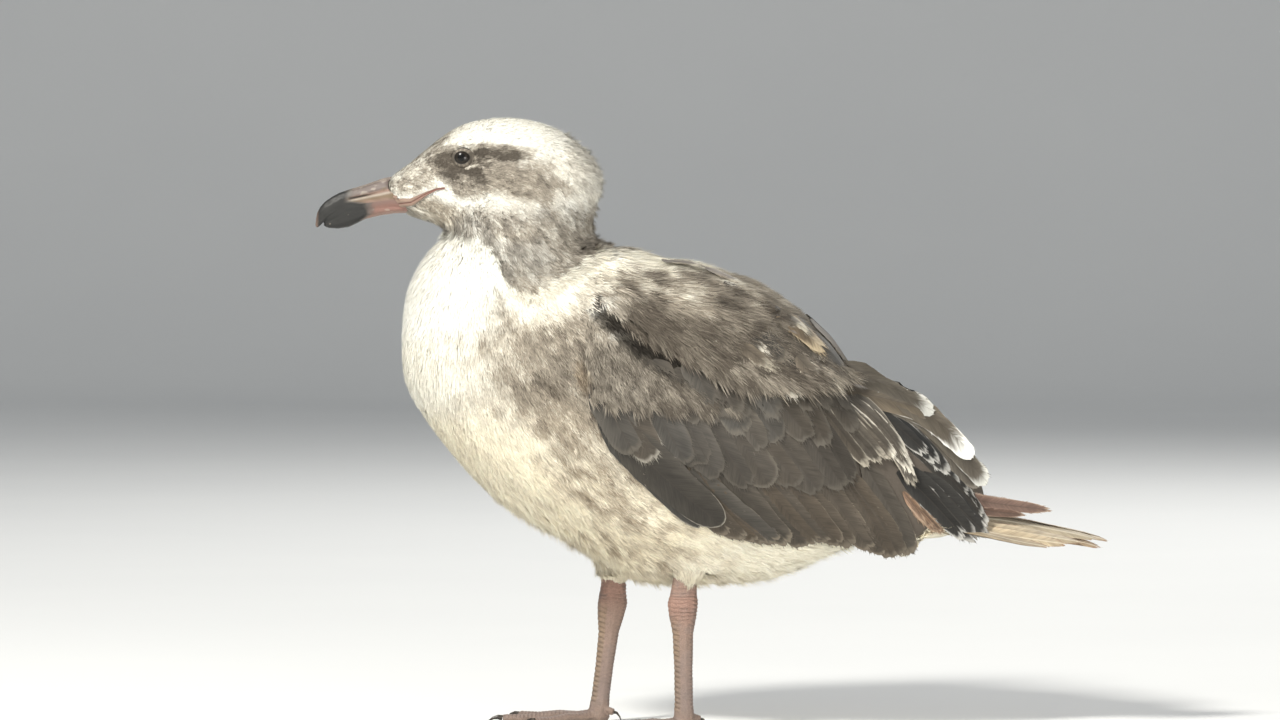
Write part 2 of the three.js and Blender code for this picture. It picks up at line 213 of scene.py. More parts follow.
def laid_over(base: Colour | np.ndarray, *layers: tuple[Colour, np.ndarray]) -> np.ndarray:
    """Lay colours over one another.

    Args:
        base: The lowest colour, or one for each place.
        layers: Each further colour with its share at each place.

    Returns:
        A colour for each place.
    """
    tone = np.array(base)
    for colour, share in layers:
        tone = tone + share[..., None] * (np.array(colour) - tone)
    return tone


# -------------------- meshes


def put_down() -> None:
    """Leave object mode clean: nothing selected and no mode open."""
    if bpy.context.object and bpy.context.object.mode != "OBJECT":
        bpy.ops.object.mode_set(mode="OBJECT")
    bpy.ops.object.select_all(action="DESELECT")


def take_up(piece: bpy.types.Object) -> None:
    """Select one piece alone and make it the active one."""
    put_down()
    piece.select_set(True)
    bpy.context.view_layer.objects.active = piece


def make_mesh(name: str, points: np.ndarray, *faces: np.ndarray) -> bpy.types.Object:
    """Make a piece from arrays of points and of equal-sided faces.

    Args:
        name: The piece's name.
        points: Vertices, one row each.
        faces: Arrays of faces, each with its own number of corners.

    Returns:
        The new piece, smooth shaded, at the origin.
    """
    mesh = bpy.data.meshes.new(name)
    corners = np.concatenate([rows.ravel() for rows in faces]).astype(np.int32)
    counts = np.concatenate([np.full(len(rows), rows.shape[1]) for rows in faces])
    starts = np.concatenate([[0], np.cumsum(counts)[:-1]]).astype(np.int32)
    mesh.vertices.add(len(points))
    mesh.vertices.foreach_set("co", points.astype(np.float32).ravel())
    mesh.loops.add(len(corners))
    mesh.loops.foreach_set("vertex_index", corners)
    mesh.polygons.add(len(counts))
    mesh.polygons.foreach_set("loop_start", starts)
    mesh.polygons.foreach_set("use_smooth", np.ones(len(counts), bool))
    mesh.update(calc_edges=True)
    piece = bpy.data.objects.new(name, mesh)
    bpy.context.scene.collection.objects.link(piece)
    return piece


def mesh_points(piece: bpy.types.Object) -> np.ndarray:
    """The vertices of a piece, one row each."""
    points = np.empty(len(piece.data.vertices) * 3, np.float32)
    piece.data.vertices.foreach_get("co", points)
    return points.reshape(-1, 3).astype(float)


def place_points(piece: bpy.types.Object, points: np.ndarray) -> None:
    """Move the vertices of a piece to new places."""
    piece.data.vertices.foreach_set("co", points.astype(np.float32).ravel())
    piece.data.update()


def mesh_triangles(piece: bpy.types.Object) -> tuple[np.ndarray, np.ndarray]:
    """The triangles of a piece as rows of vertices, and as rows of face corners."""
    piece.data.calc_loop_triangles()
    count = len(piece.data.loop_triangles)
    vertices, corners = np.empty(count * 3, np.int32), np.empty(count * 3, np.int32)
    piece.data.loop_triangles.foreach_get("vertices", vertices)
    piece.data.loop_triangles.foreach_get("loops", corners)
    return vertices.reshape(-1, 3), corners.reshape(-1, 3)


def vertex_normals(points: np.ndarray, triangles: np.ndarray) -> np.ndarray:
    """Normals at the vertices, weighted by the area of the faces around them."""
    a, b, c = (points[triangles[:, k]] for k in range(3))
    across = np.cross(b - a, c - a)
    normals = np.zeros_like(points)
    for k in range(3):
        np.add.at(normals, triangles[:, k], across)
    return unit(normals)


def set_colours(piece: bpy.types.Object, name: str, colours: np.ndarray) -> None:
    """Keep a colour for each vertex of a piece under the given name."""
    rows = np.ones((len(colours), 4), np.float32)
    rows[:, :3] = np.clip(colours, 0.0, 1.0)
    store = piece.data.attributes.new(name, "FLOAT_COLOR", "POINT")
    store.data.foreach_set("color", rows.ravel())


def set_amounts(piece: bpy.types.Object, name: str, amounts: np.ndarray) -> None:
    """Keep a number for each vertex of a piece under the given name."""
    store = piece.data.attributes.new(name, "FLOAT", "POINT")
    store.data.foreach_set("value", amounts.astype(np.float32))


def set_map(piece: bpy.types.Object, name: str, places: np.ndarray) -> None:
    """Give a piece a UV map from a place for each of its vertices."""
    corners = np.empty(len(piece.data.loops), np.int32)
    piece.data.loops.foreach_get("vertex_index", corners)
    layer = piece.data.uv_layers.new(name=name)
    layer.data.foreach_set("uv", places[corners].astype(np.float32).ravel())


def set_normals(piece: bpy.types.Object, normals: np.ndarray) -> None:
    """Shade a piece by the given normal at each vertex."""
    piece.data.normals_split_custom_set_from_vertices(unit(normals).tolist())


def copy_nodes(name: str, nodes: list[str]) -> bpy.types.Object:
    """Copy the solids of some nodes into one mesh, with their doubles merged.

    Args:
        name: The new piece's name.
        nodes: The nodes to copy.

    Returns:
        The copy. The nodes stay as they are.
    """
    points, faces, count = [], [], 0
    for node in nodes:
        solid = bpy.data.objects[node]
        points.append(mesh_points(solid))
        faces.append(mesh_triangles(solid)[0] + count)
        count += len(points[-1])
    piece = make_mesh(name, np.concatenate(points), np.concatenate(faces))
    take_up(piece)
    bpy.ops.object.mode_set(mode="EDIT")
    bpy.ops.mesh.select_all(action="SELECT")
    bpy.ops.mesh.remove_doubles(threshold=1e-5)
    put_down()
    return piece


def apply_modifier(piece: bpy.types.Object, kind: str, **settings: object) -> None:
    """Add one modifier to a piece, set it and apply it.

    Args:
        piece: The piece to change.
        kind: The modifier's type.
        settings: Its properties.
    """
    take_up(piece)
    modifier = piece.modifiers.new(kind.title(), kind)
    for key, value in settings.items():
        setattr(modifier, key, value)
    bpy.ops.object.modifier_apply(modifier=modifier.name)


def relax(values: np.ndarray, edges: np.ndarray, rounds: int, pull: float = 0.5) -> np.ndarray:
    """Even out values over a mesh by moving each towards its neighbours.

    Args:
        values: A value or a vector for each vertex.
        edges: Pairs of joined vertices.
        rounds: How many times to repeat it.
        pull: How far each value moves towards its neighbours' mean.

    Returns:
        The evened values.
    """
    count = len(values)
    ends = np.concatenate([edges, edges[:, ::-1]])
    degree = np.bincount(ends[:, 0], minlength=count)
    held = values.reshape(count, -1).astype(float)
    for _ in range(rounds):
        sums = [np.bincount(ends[:, 0], column[ends[:, 1]], count) for column in held.T]
        mean = np.stack(sums, axis=1) / np.maximum(degree, 1)[:, None]
        held = held + pull * (mean - held)
    return held.reshape(values.shape)


def rounded(solid: np.ndarray, edges: np.ndarray, rounds: int) -> np.ndarray:
    """Round off a mesh's facets while it keeps its girth.

    Args:
        solid: Its vertices.
        edges: Its edges.
        rounds: How strongly they are rounded.

    Returns:
        The rounded vertices.
    """
    soft = relax(solid, edges, rounds)
    for _ in range(2):
        soft = soft + relax(solid - soft, edges, rounds)
    return soft


def mesh_edges(piece: bpy.types.Object) -> np.ndarray:
    """The edges of a piece as pairs of vertices."""
    pairs = np.empty(len(piece.data.edges) * 2, np.int32)
    piece.data.edges.foreach_get("vertices", pairs)
    return pairs.reshape(-1, 2)


def deliver(
    piece: bpy.types.Object, finish: bpy.types.Material, slot: str, *nodes: str
) -> None:
    """Hand over a piece: its finish, its body and the nodes it stands for.

    Args:
        piece: The shaped piece.
        finish: Its material.
        slot: A material slot's name; not used.
        nodes: The nodes that this piece replaces.
    """
    piece.data.materials.append(finish)
    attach(piece, BODY)
    if nodes:
        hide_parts(*nodes)
    LOG.info("%s: %d faces", piece.name, len(piece.data.polygons))


# -------------------- the form under the feathers


class Lay:
    """A surface that feathers are laid on, with quick searches over it."""

    def __init__(self, points: np.ndarray, triangles: np.ndarray, normals: np.ndarray) -> None:
        """Build the search tree.

        Args:
            points: The surface's vertices.
            triangles: Its faces.
            normals: A smooth normal at each vertex.
        """
        self.tree = BVHTree.FromPolygons(
            points.tolist(), triangles.tolist(), all_triangles=True
        )
        self.normals = unit(normals[triangles].mean(axis=1))

    def nearest(self, places: np.ndarray) -> tuple[np.ndarray, np.ndarray]:
        """Drop places onto the surface.

        Args:
            places: Points near the surface.

        Returns:
            The nearest points on it and the normals there.
        """
        found = [self.tree.find_nearest(place) for place in places.tolist()]
        points = np.array([hit[0][:] for hit in found])
        return points, self.normals[[hit[2] for hit in found]]

    def cast(
        self, start: np.ndarray, heading: np.ndarray
    ) -> tuple[np.ndarray | None, np.ndarray | None]:
        """Find where a straight line first meets the surface, and the normal there."""
        place, _, face, _ = self.tree.ray_cast(Vector(start), Vector(heading))
        if place is None:
            return None, None
        return np.array(place), self.normals[face]


FLESH = [
    "head", "neck", "breast", "belly", "rump",
    "thigh_left", "thigh_right",
    "scapulars_left", "scapulars_right",
    "coverts_left", "coverts_right",
    "secondaries_left", "secondaries_right",
]
WING_ENDS = ["tertials_left", "tertials_right", "primaries_left", "primaries_right"]


@dataclass
class BodyForm:
    """The outer form of the plumage and the skin that lies the coat's depth inside it."""

    cell: float = 2.0 * MM
    rounds: int = 62
    shading_rounds: int = 14
    thin_share: float = 0.3
    face_depth: float = 0.9 * MM
    head_depth: float = 2.0 * MM
    neck_depth: float = 3.2 * MM
    body_depth: float = 4.0 * MM
    wing_depth: float = 2.2 * MM
    thigh_depth: float = 1.6 * MM
    # painted shade: the skin is darkened as if shadowed deep under the coat
    painted_skin_shade: float = 0.6
    wing_rim: float = 8 * MM  # how far in the skin takes on the wing's colour
    wing_skin: Colour = (0.10, 0.085, 0.07)

    def build(self, landmarks: Landmarks) -> None:
        """Model the form and the skin.

        Args:
            landmarks: Places on the bird.
        """
        self.marks = landmarks
        self.skin = copy_nodes("skin", FLESH + WING_ENDS)
        apply_modifier(self.skin, "REMESH", mode="VOXEL", voxel_size=self.cell)
        self._keep_largest()
        edges = mesh_edges(self.skin)
        self.outer = rounded(mesh_points(self.skin), edges, self.rounds)
        self.triangles, self.corners = mesh_triangles(self.skin)
        normals = vertex_normals(self.outer, self.triangles)
        self.normals = unit(relax(normals, edges, self.shading_rounds))
        self.lay = Lay(self.outer, self.triangles, self.normals)
        self.depth = self._depth(landmarks, edges)
        self.inner = self.outer - self.normals * self.depth[:, None]
        place_points(self.skin, self.inner)
        self._unwrap()

    def _keep_largest(self) -> None:
        """Delete every loose part of the remeshed body but the largest."""
        edges = mesh_edges(self.skin)
        group = np.arange(len(self.skin.data.vertices))
        while True:
            lowest = group.copy()
            np.minimum.at(lowest, edges[:, 0], group[edges[:, 1]])
            np.minimum.at(lowest, edges[:, 1], group[edges[:, 0]])
            lowest = lowest[lowest]
            if np.array_equal(lowest, group):
                break
            group = lowest
        names, counts = np.unique(group, return_counts=True)
        spare = group != names[counts.argmax()]
        self.skin.data.vertices.foreach_set("select", spare)
        take_up(self.skin)
        if spare.any():
            bpy.ops.object.mode_set(mode="EDIT")
            bpy.ops.mesh.delete(type="VERT")
            put_down()
        LOG.info("skin: %d loose vertices cleared", int(spare.sum()))

    def _depth(self, landmarks: Landmarks, edges: np.ndarray) -> np.ndarray:
        """Work out how deep the coat is at each vertex.

        Args:
            landmarks: Places on the bird.
            edges: The form's edges.

        Returns:
            The coat's depth at each vertex.
        """
        x, y, z = self.outer.T
        face = landmarks.spot("head", 0.42, 0.5)
        chin = landmarks.spot("head", 0.5, 0.0)[1]
        collar = landmarks.spot("neck", 0.5, -0.4)[1]
        depth = np.full(len(x), self.body_depth)
        depth += (self.neck_depth - depth) * smooth_step(z, collar, chin)
        depth += (self.head_depth - depth) * smooth_step(z, chin, chin + 20 * MM)
        on_face = smooth_step(x, face[0] + 12 * MM, face[0] - 12 * MM)
        depth += (self.face_depth - depth) * on_face * smooth_step(z, chin - 5 * MM, chin)
        thigh = landmarks.spot("thigh_left", 0.5, 0.6)[1]
        depth += (self.thigh_depth - depth) * smooth_step(z, thigh, thigh - 6 * MM)
        behind = landmarks.spot("coverts_left", 0.1, 0.5)[0]
        inner = np.abs(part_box("scapulars_left")[0].y) * 0.75
        on_wing = smooth_step(x, behind, behind + 15 * MM) * (np.abs(y) > inner)
        depth += (self.wing_depth - depth) * on_wing
        start = self.outer - self.normals * 0.4 * MM
        hits = (
            self.lay.tree.ray_cast(Vector(p), Vector(-n))[3]
            for p, n in zip(start, self.normals)
        )
        thickness = np.array([1.0 if reach is None else reach for reach in hits])
        return relax(np.minimum(depth, self.thin_share * thickness), edges, 6)

    def _unwrap(self) -> None:
        """Unwrap the skin by its own shape, for the roots of its feathers."""
        take_up(self.skin)
        bpy.ops.object.mode_set(mode="EDIT")
        bpy.ops.mesh.select_all(action="SELECT")
        bpy.ops.uv.smart_project(angle_limit=math.radians(66), island_margin=0.002)
        put_down()
        layer = self.skin.data.uv_layers.active
        layer.name = "OFBake"
        places = np.empty(len(self.skin.data.loops) * 2, np.float32)
        layer.data.foreach_get("uv", places)
        self.root_map = places.reshape(-1, 2)[self.corners]

    def dress(self, flow: "FlowField", markings: "Markings", edge: "WingEdge") -> None:
        """Colour the skin like the coat over it, darkened by painted shade, and hand it over.

        Args:
            flow: The lie of the plumage.
            markings: The colours of the plumage.
            edge: Where the wings cover the body.
        """
        lie = flow.at(self.outer, self.normals)
        tone = markings.colours(self.outer, lie, self.cell, np.zeros(len(self.outer)))
        under_wing = smooth_step(edge.inside(self.outer), 0.0, self.wing_rim)
        # painted shade: the coat's colours, darkened as if in the coat's shadow, then the wing's
        # colour near its edge
        tone = laid_over(tone * self.painted_skin_shade, (self.wing_skin, under_wing))
        set_colours(self.skin, "Plume", tone)
        set_normals(self.skin, self.normals)
        finish = DownFinish("skin_down").material()
        deliver(self.skin, finish, "feather_pale", *FLESH, *WING_ENDS)


# -------------------- finishes


class NodeBench:
    """A new material's node tree, with short calls to add and join nodes."""

    def __init__(self, name: str) -> None:
        """Start a material.

        Args:
            name: The material's name.
        """
        self.result = bpy.data.materials.new(name)
        self.result.use_nodes = True
        self.tree = self.result.node_tree
        self.shader = self.tree.nodes["Principled BSDF"]

    def add(self, kind: str, **settings: object) -> bpy.types.Node:
        """Add a node.

        Args:
            kind: The node's type, without its prefix.
            settings: Properties of the node, or values of its inputs by name.

        Returns:
            The node.
        """
        node = self.tree.nodes.new("ShaderNode" + kind)
        for key, value in settings.items():
            label = key.replace("_", " ")
            if hasattr(node, key):
                setattr(node, key, value)
            else:
                node.inputs[label].default_value = value
        return node

    def join(self, source: bpy.types.NodeSocket, target: bpy.types.NodeSocket) -> None:
        """Run a link from one socket to another."""
        self.tree.links.new(source, target)

    def feed(self, target: bpy.types.NodeSocket, value: object) -> None:
        """Give a socket a link, a colour or a number."""
        if isinstance(value, bpy.types.NodeSocket):
            self.join(value, target)
        else:
            target.default_value = (*value, 1.0) if isinstance(value, tuple) else value

    def set(self, **values: object) -> None:
        """Set inputs of the shader by name."""
        for key, value in values.items():
            self.shader.inputs[key.replace("_", " ")].default_value = value

    def attribute(self, name: str, output: str = "Color") -> bpy.types.NodeSocket:
        """Read a mesh attribute."""
        return self.add("Attribute", attribute_name=name).outputs[output]

    def maths(self, operation: str, *values: object) -> bpy.types.NodeSocket:
        """Work out one sum from sockets and numbers.

        Args:
            operation: The kind of sum.
            values: Sockets or numbers, in order.

        Returns:
            The result.
        """
        node = self.add("Math", operation=operation)
        for socket, value in zip(node.inputs, values):
            self.feed(socket, value)
        return node.outputs[0]

    def ease(self, value: bpy.types.NodeSocket, low: float, high: float) -> bpy.types.NodeSocket:
        """Ease a value from 0 at one number to 1 at another."""
        node = self.add("MapRange", interpolation_type="SMOOTHSTEP")
        self.join(value, node.inputs["Value"])
        node.inputs["From Min"].default_value = low
        node.inputs["From Max"].default_value = high
        return node.outputs["Result"]

    def blend(
        self,
        share: object,
        first: object,
        second: object,
        mode: str = "MIX",
    ) -> bpy.types.NodeSocket:
        """Blend two colours.

        Args:
            share: How much of the second, as a socket or a number.
            first: A colour socket or a colour.
            second: A colour socket or a colour.
            mode: How they blend.

        Returns:
            The blended colour.
        """
        node = self.add("Mix", data_type="RGBA", blend_type=mode)
        for index, value in ((0, share), (6, first), (7, second)):
            self.feed(node.inputs[index], value)
        return node.outputs[2]

    def noise(
        self,
        where: bpy.types.NodeSocket,
        scale: float,
        detail: float = 3.0,
        stretch: tuple[float, float, float] = (1.0, 1.0, 1.0),
    ) -> bpy.types.NodeSocket:
        """Add a noise pattern.

        Args:
            where: The coordinates it reads.
            scale: Its scale.
            detail: How many finer layers it has.
            stretch: Its scale along each axis.

        Returns:
            The noise value, from 0 to 1.
        """
        mapping = self.add("Mapping")
        mapping.inputs["Scale"].default_value = stretch
        self.join(where, mapping.inputs["Vector"])
        node = self.add("TexNoise", Scale=scale, Detail=detail)
        self.join(mapping.outputs[0], node.inputs["Vector"])
        return node.outputs["Fac"]

    def places(self) -> bpy.types.NodeSocket:
        """The place on the object."""
        return self.add("TexCoord").outputs["Object"]

    def bump(self, height: bpy.types.NodeSocket, distance: float, strength: float = 1.0) -> None:
        """Raise the surface by a height.

        Args:
            height: The height, from 0 to 1.
            distance: What a height of 1 measures.
            strength: How strongly it shades.
        """
        node = self.add("Bump", Distance=distance, Strength=strength)
        self.join(height, node.inputs["Height"])
        self.join(node.outputs[0], self.shader.inputs["Normal"])

    def colour(self, source: bpy.types.NodeSocket) -> None:
        """Give the shader its colour."""
        self.join(source, self.shader.inputs["Base Color"])

    def roughness(self, source: bpy.types.NodeSocket, low: float, high: float) -> None:
        """Vary the shader's roughness between two values."""
        node = self.add("MapRange")
        self.join(source, node.inputs["Value"])
        node.inputs["To Min"].default_value = low
        node.inputs["To Max"].default_value = high
        self.join(node.outputs["Result"], self.shader.inputs["Roughness"])


@dataclass(frozen=True)
class FloorFinish:
    """Matt pale board with a faint mottle."""

    pale: Colour = (0.80, 0.81, 0.81)
    deep: Colour = (0.76, 0.77, 0.775)

    def material(self) -> bpy.types.Material:
        """Make the material."""
        bench = NodeBench("floor_board")
        cloud = bench.noise(bench.places(), 3.0)
        bench.colour(bench.blend(cloud, self.pale, self.deep))
        bench.roughness(cloud, 0.75, 0.9)
        return bench.result


@dataclass(frozen=True)
class DownFinish:
    """Soft small feathers and the skin under them: matt, with a fine hair-like grain."""

    name: str
    grain: float = 900.0
    relief: float = 0.15 * MM

    def material(self) -> bpy.types.Material:
        """Make the material."""
        bench = NodeBench(self.name)
        tone = bench.attribute("Plume")
        grain = bench.noise(bench.places(), self.grain, 2.0)
        shade = bench.maths("MULTIPLY_ADD", grain, 0.30, 0.85)
        bench.colour(bench.blend(1.0, tone, shade, "MULTIPLY"))
        bench.roughness(grain, 0.72, 0.9)
        bench.set(Specular_IOR_Level=0.18)
        bench.bump(grain, self.relief, 0.4)
        return bench.result


@dataclass
class HoodEdge:
    """The ragged edge where the grey hood's feathers fall over the white breast."""

    landmarks: Landmarks

    def __post_init__(self) -> None:
        """Draw the edge in the side view: down from the throat, then up to the nape."""
        self.line = self.landmarks.line(
            "neck",
            (-0.08, 0.66), (0.175, 0.52), (0.29, 0.15), (0.36, -0.32),
            (0.51, -0.55), (0.66, -0.32), (0.83, -0.04), (1.02, 0.33),
        )

    def above(self, points: np.ndarray) -> np.ndarray:
        """How far points lie above the edge; below 0 is on the breast."""
        return above_line(points, self.line)


@dataclass
class WingEdge:
    """Where the folded wings cover the body, in the side view."""

    landmarks: Landmarks
    overlap: float = 7 * MM
    low_overlap: float = 1.5 * MM
    scallop_depth: float = 6.0 * MM
    scallop_run: float = 17.0 * MM

    def __post_init__(self) -> None:
        """Draw the folded wing's outline and the lines where its kinds of feather meet."""
        line = self.landmarks.line
        self.outline = np.concatenate(
            [
                line("scapulars_left", (0.42, 1.02), (0.20, 0.97), (0.03, 0.62), (0.22, 0.34)),
                line("coverts_left", (0.16, 0.66), (0.02, 0.50), (0.14, 0.30)),
                line("secondaries_left", (0.18, 0.50), (0.40, 0.22), (0.62, 0.12), (0.80, 0.12)),
                line("secondaries_left", (1.00, -0.10)),
                line("tail", (0.60, 0.60), (0.60, 6.00)),
                line("scapulars_left", (0.42, 1.60)),
            ]
        )
        self.scapular_roots = line(
            "scapulars_left",
            (-0.03, 0.81), (0.02, 0.72), (0.15, 0.49), (0.26, 0.36), (0.35, 0.28),
            (0.47, 0.14), (0.57, 0.11), (0.74, 0.07), (0.98, 0.15),
        )
        self.vane_tops = line(
            "coverts_left", (0.00, 0.60), (0.19, 0.56), (0.39, 0.54), (0.59, 0.60), (0.67, 0.80)
        )

    def inside(self, points: np.ndarray) -> np.ndarray:
        """How far points lie inside the outline in the side view; below 0 is outside."""
        place = points[:, [0, 2]]
        within = np.zeros(len(place), bool)
        nearest = np.full(len(place), np.inf)
        for a, b in zip(self.outline, np.roll(self.outline, -1, axis=0)):
            crosses = (a[1] > place[:, 1]) != (b[1] > place[:, 1])
            rise = (b[1] - a[1]) or 1e-9
            meet = a[0] + (place[:, 1] - a[1]) / rise * (b[0] - a[0])
            within ^= crosses & (place[:, 0] < meet)
            run = b - a
            share = np.clip(((place - a) @ run) / (run @ run), 0, 1)[:, None]
            nearest = np.minimum(nearest, np.linalg.norm(place - (a + share * run), axis=1))
        return np.where(within, nearest, -nearest)

    def bare(self, points: np.ndarray, normals: np.ndarray) -> np.ndarray:
        """Whether the body's own small feathers grow at each point.

        Args:
            points: Places on the body.
            normals: The normals there.

        Returns:
            True where the wings leave the body bare.
        """
        behind = self.landmarks.spot("coverts_left", 0.0, 0.5)[0]
        end = self.landmarks.spot("rump", 1.02, 0.0)[0]
        beneath = (normals[:, 2] < -0.45) & (points[:, 0] > behind) & (points[:, 0] < end)
        past = points[:, 0] > end
        low = self.landmarks.spot("coverts_left", 0.0, 0.10)[1]
        overlap = np.where(points[:, 2] < low, self.low_overlap, self.overlap)
        return ((self.inside(points) < overlap) & ~past) | beneath

    def above_coverts(self, points: np.ndarray) -> np.ndarray:
        """How far points lie above the line where the scapulars root over the coverts."""
        return above_line(points, self.scapular_roots)

    def on_mantle(self, points: np.ndarray) -> np.ndarray:
        """Whether points lie on the scapulars or the back, above the folded wing's coverts."""
        end = self.landmarks.spot("scapulars_left", 1.04, 0)[0]
        nape = self.landmarks.spot("neck", 1.0, 0)[0]
        back = (points[:, 0] > nape + self.overlap) & (
            points[:, 2] > self.landmarks.spot("scapulars_left", 0, 0.80)[1]
        )
        clear = ((self.inside(points) > self.overlap) | back) & (points[:, 0] < end)
        return clear & (self.above_coverts(points) > 0)

    def above_vanes(self, points: np.ndarray) -> np.ndarray:
        """How far points lie above the scalloped line where the smooth coverts begin."""
        scallop = self.scallop_depth * np.abs(np.sin(math.pi * points[:, 0] / self.scallop_run))
        return above_line(points, self.vane_tops) + scallop

    def on_lesser(self, points: np.ndarray) -> np.ndarray:
        """Whether points lie on the small soft coverts, below the scapulars."""
        start, end = (self.landmarks.spot("coverts_left", along, 0)[0] for along in (0.0, 0.67))
        clear = (points[:, 0] > start) & (points[:, 0] < end)
        return clear & (self.above_vanes(points) > 0) & (self.above_coverts(points) <= 0)


# -------------------- the lie of the plumage and its markings


@dataclass(frozen=True)
class Guide:
    """Which way the feathers lie around one place in the side view of a node."""

    node: str
    along: float
    up: float
    heading: float  # degrees below the line to the rear
    reach: float = 26  # mm


LIE = tuple(
    Guide(node, *numbers)
    for node, rows in (
        (
            "head",
            (
                (0.02, 0.45, 0, 14), (0.25, 0.95, -14, 16), (0.55, 1.0, 0, 18),
                (0.85, 0.85, 38, 16), (1.0, 0.5, 72, 16), (0.42, 0.62, -4, 14),
                (0.55, 0.45, 14, 16), (0.80, 0.40, 48, 16), (0.22, 0.25, 22, 14),
                (0.45, 0.12, 38, 16),
            ),
        ),
        ("neck", ((0.10, 0.45, 70, 20), (0.50, 0.30, 68, 20), (0.95, 0.40, 74, 18))),
        (
            "breast",
            (
                (0.10, 0.80, 92), (0.02, 0.55, 84), (0.12, 0.30, 62), (0.45, 0.75, 78),
                (0.55, 0.45, 58), (0.40, 0.20, 48), (0.95, 0.90, 40), (0.90, 0.55, 56),
                (0.80, 0.05, 38),
            ),
        ),
        (
            "belly",
            (
                (0.20, 0.45, 46), (0.30, 0.12, 26), (0.60, 0.08, 14), (0.95, 0.12, 6),
                (0.50, 0.98, 26), (0.80, 0.90, 22),
            ),
        ),
        ("rump", ((0.40, 0.05, 0), (0.90, 0.25, 2), (0.50, 0.90, 34))),
        (
            "scapulars_left",
            (
                (0.30, 0.95, 20, 18), (0.65, 0.90, 26, 18), (0.10, 0.66, 68, 18),
                (0.30, 0.45, 64, 18), (0.58, 0.30, 54, 18), (0.35, 0.72, 40, 14),
                (0.85, 0.30, 38, 18),
            ),
        ),
        ("coverts_left", ((0.08, 0.75, 72, 20), (0.35, 0.60, 58, 20))),
        ("thigh_left", ((0.50, 0.20, 78, 9),)),
        ("thigh_right", ((0.50, 0.20, 78, 12),)),
    )
    for numbers in rows
)


class FlowField:
    """The lie of the plumage all over the body."""

    def __init__(self, landmarks: Landmarks) -> None:
        """Place the guides.

        Args:
            landmarks: Places on the bird.
        """
        self.places = np.array([landmarks.spot(g.node, g.along, g.up) for g in LIE])
        slopes = np.radians([g.heading for g in LIE])
        self.headings = np.stack([np.cos(slopes), 0 * slopes, -np.sin(slopes)], axis=1)
        self.reach = np.array([g.reach for g in LIE]) * MM

    def at(self, points: np.ndarray, normals: np.ndarray) -> np.ndarray:
        """Find the lie of the plumage.

        Args:
            points: Places on the body.
            normals: The normals there.

        Returns:
            A unit direction along the surface at each place.
        """
        gaps = points[:, None, [0, 2]] - self.places[None]
        distance = (gaps**2).sum(axis=2) / self.reach[None] ** 2
        weights = np.exp(-0.5 * (distance - distance.min(axis=1, keepdims=True)))
        return lay_on(weights @ self.headings, normals)


@dataclass(frozen=True)
class Blotch:
    """A patch of darker or paler plumage, in the side view of a node."""

    node: str
    along: float
    up: float
    length: float  # mm
    height: float  # mm
    slope: float  # degrees below the line to the rear
    dark: float  # 0 white to 1 darkest
    mottle: float
    warmth: float  # 0 cool to 1 warm


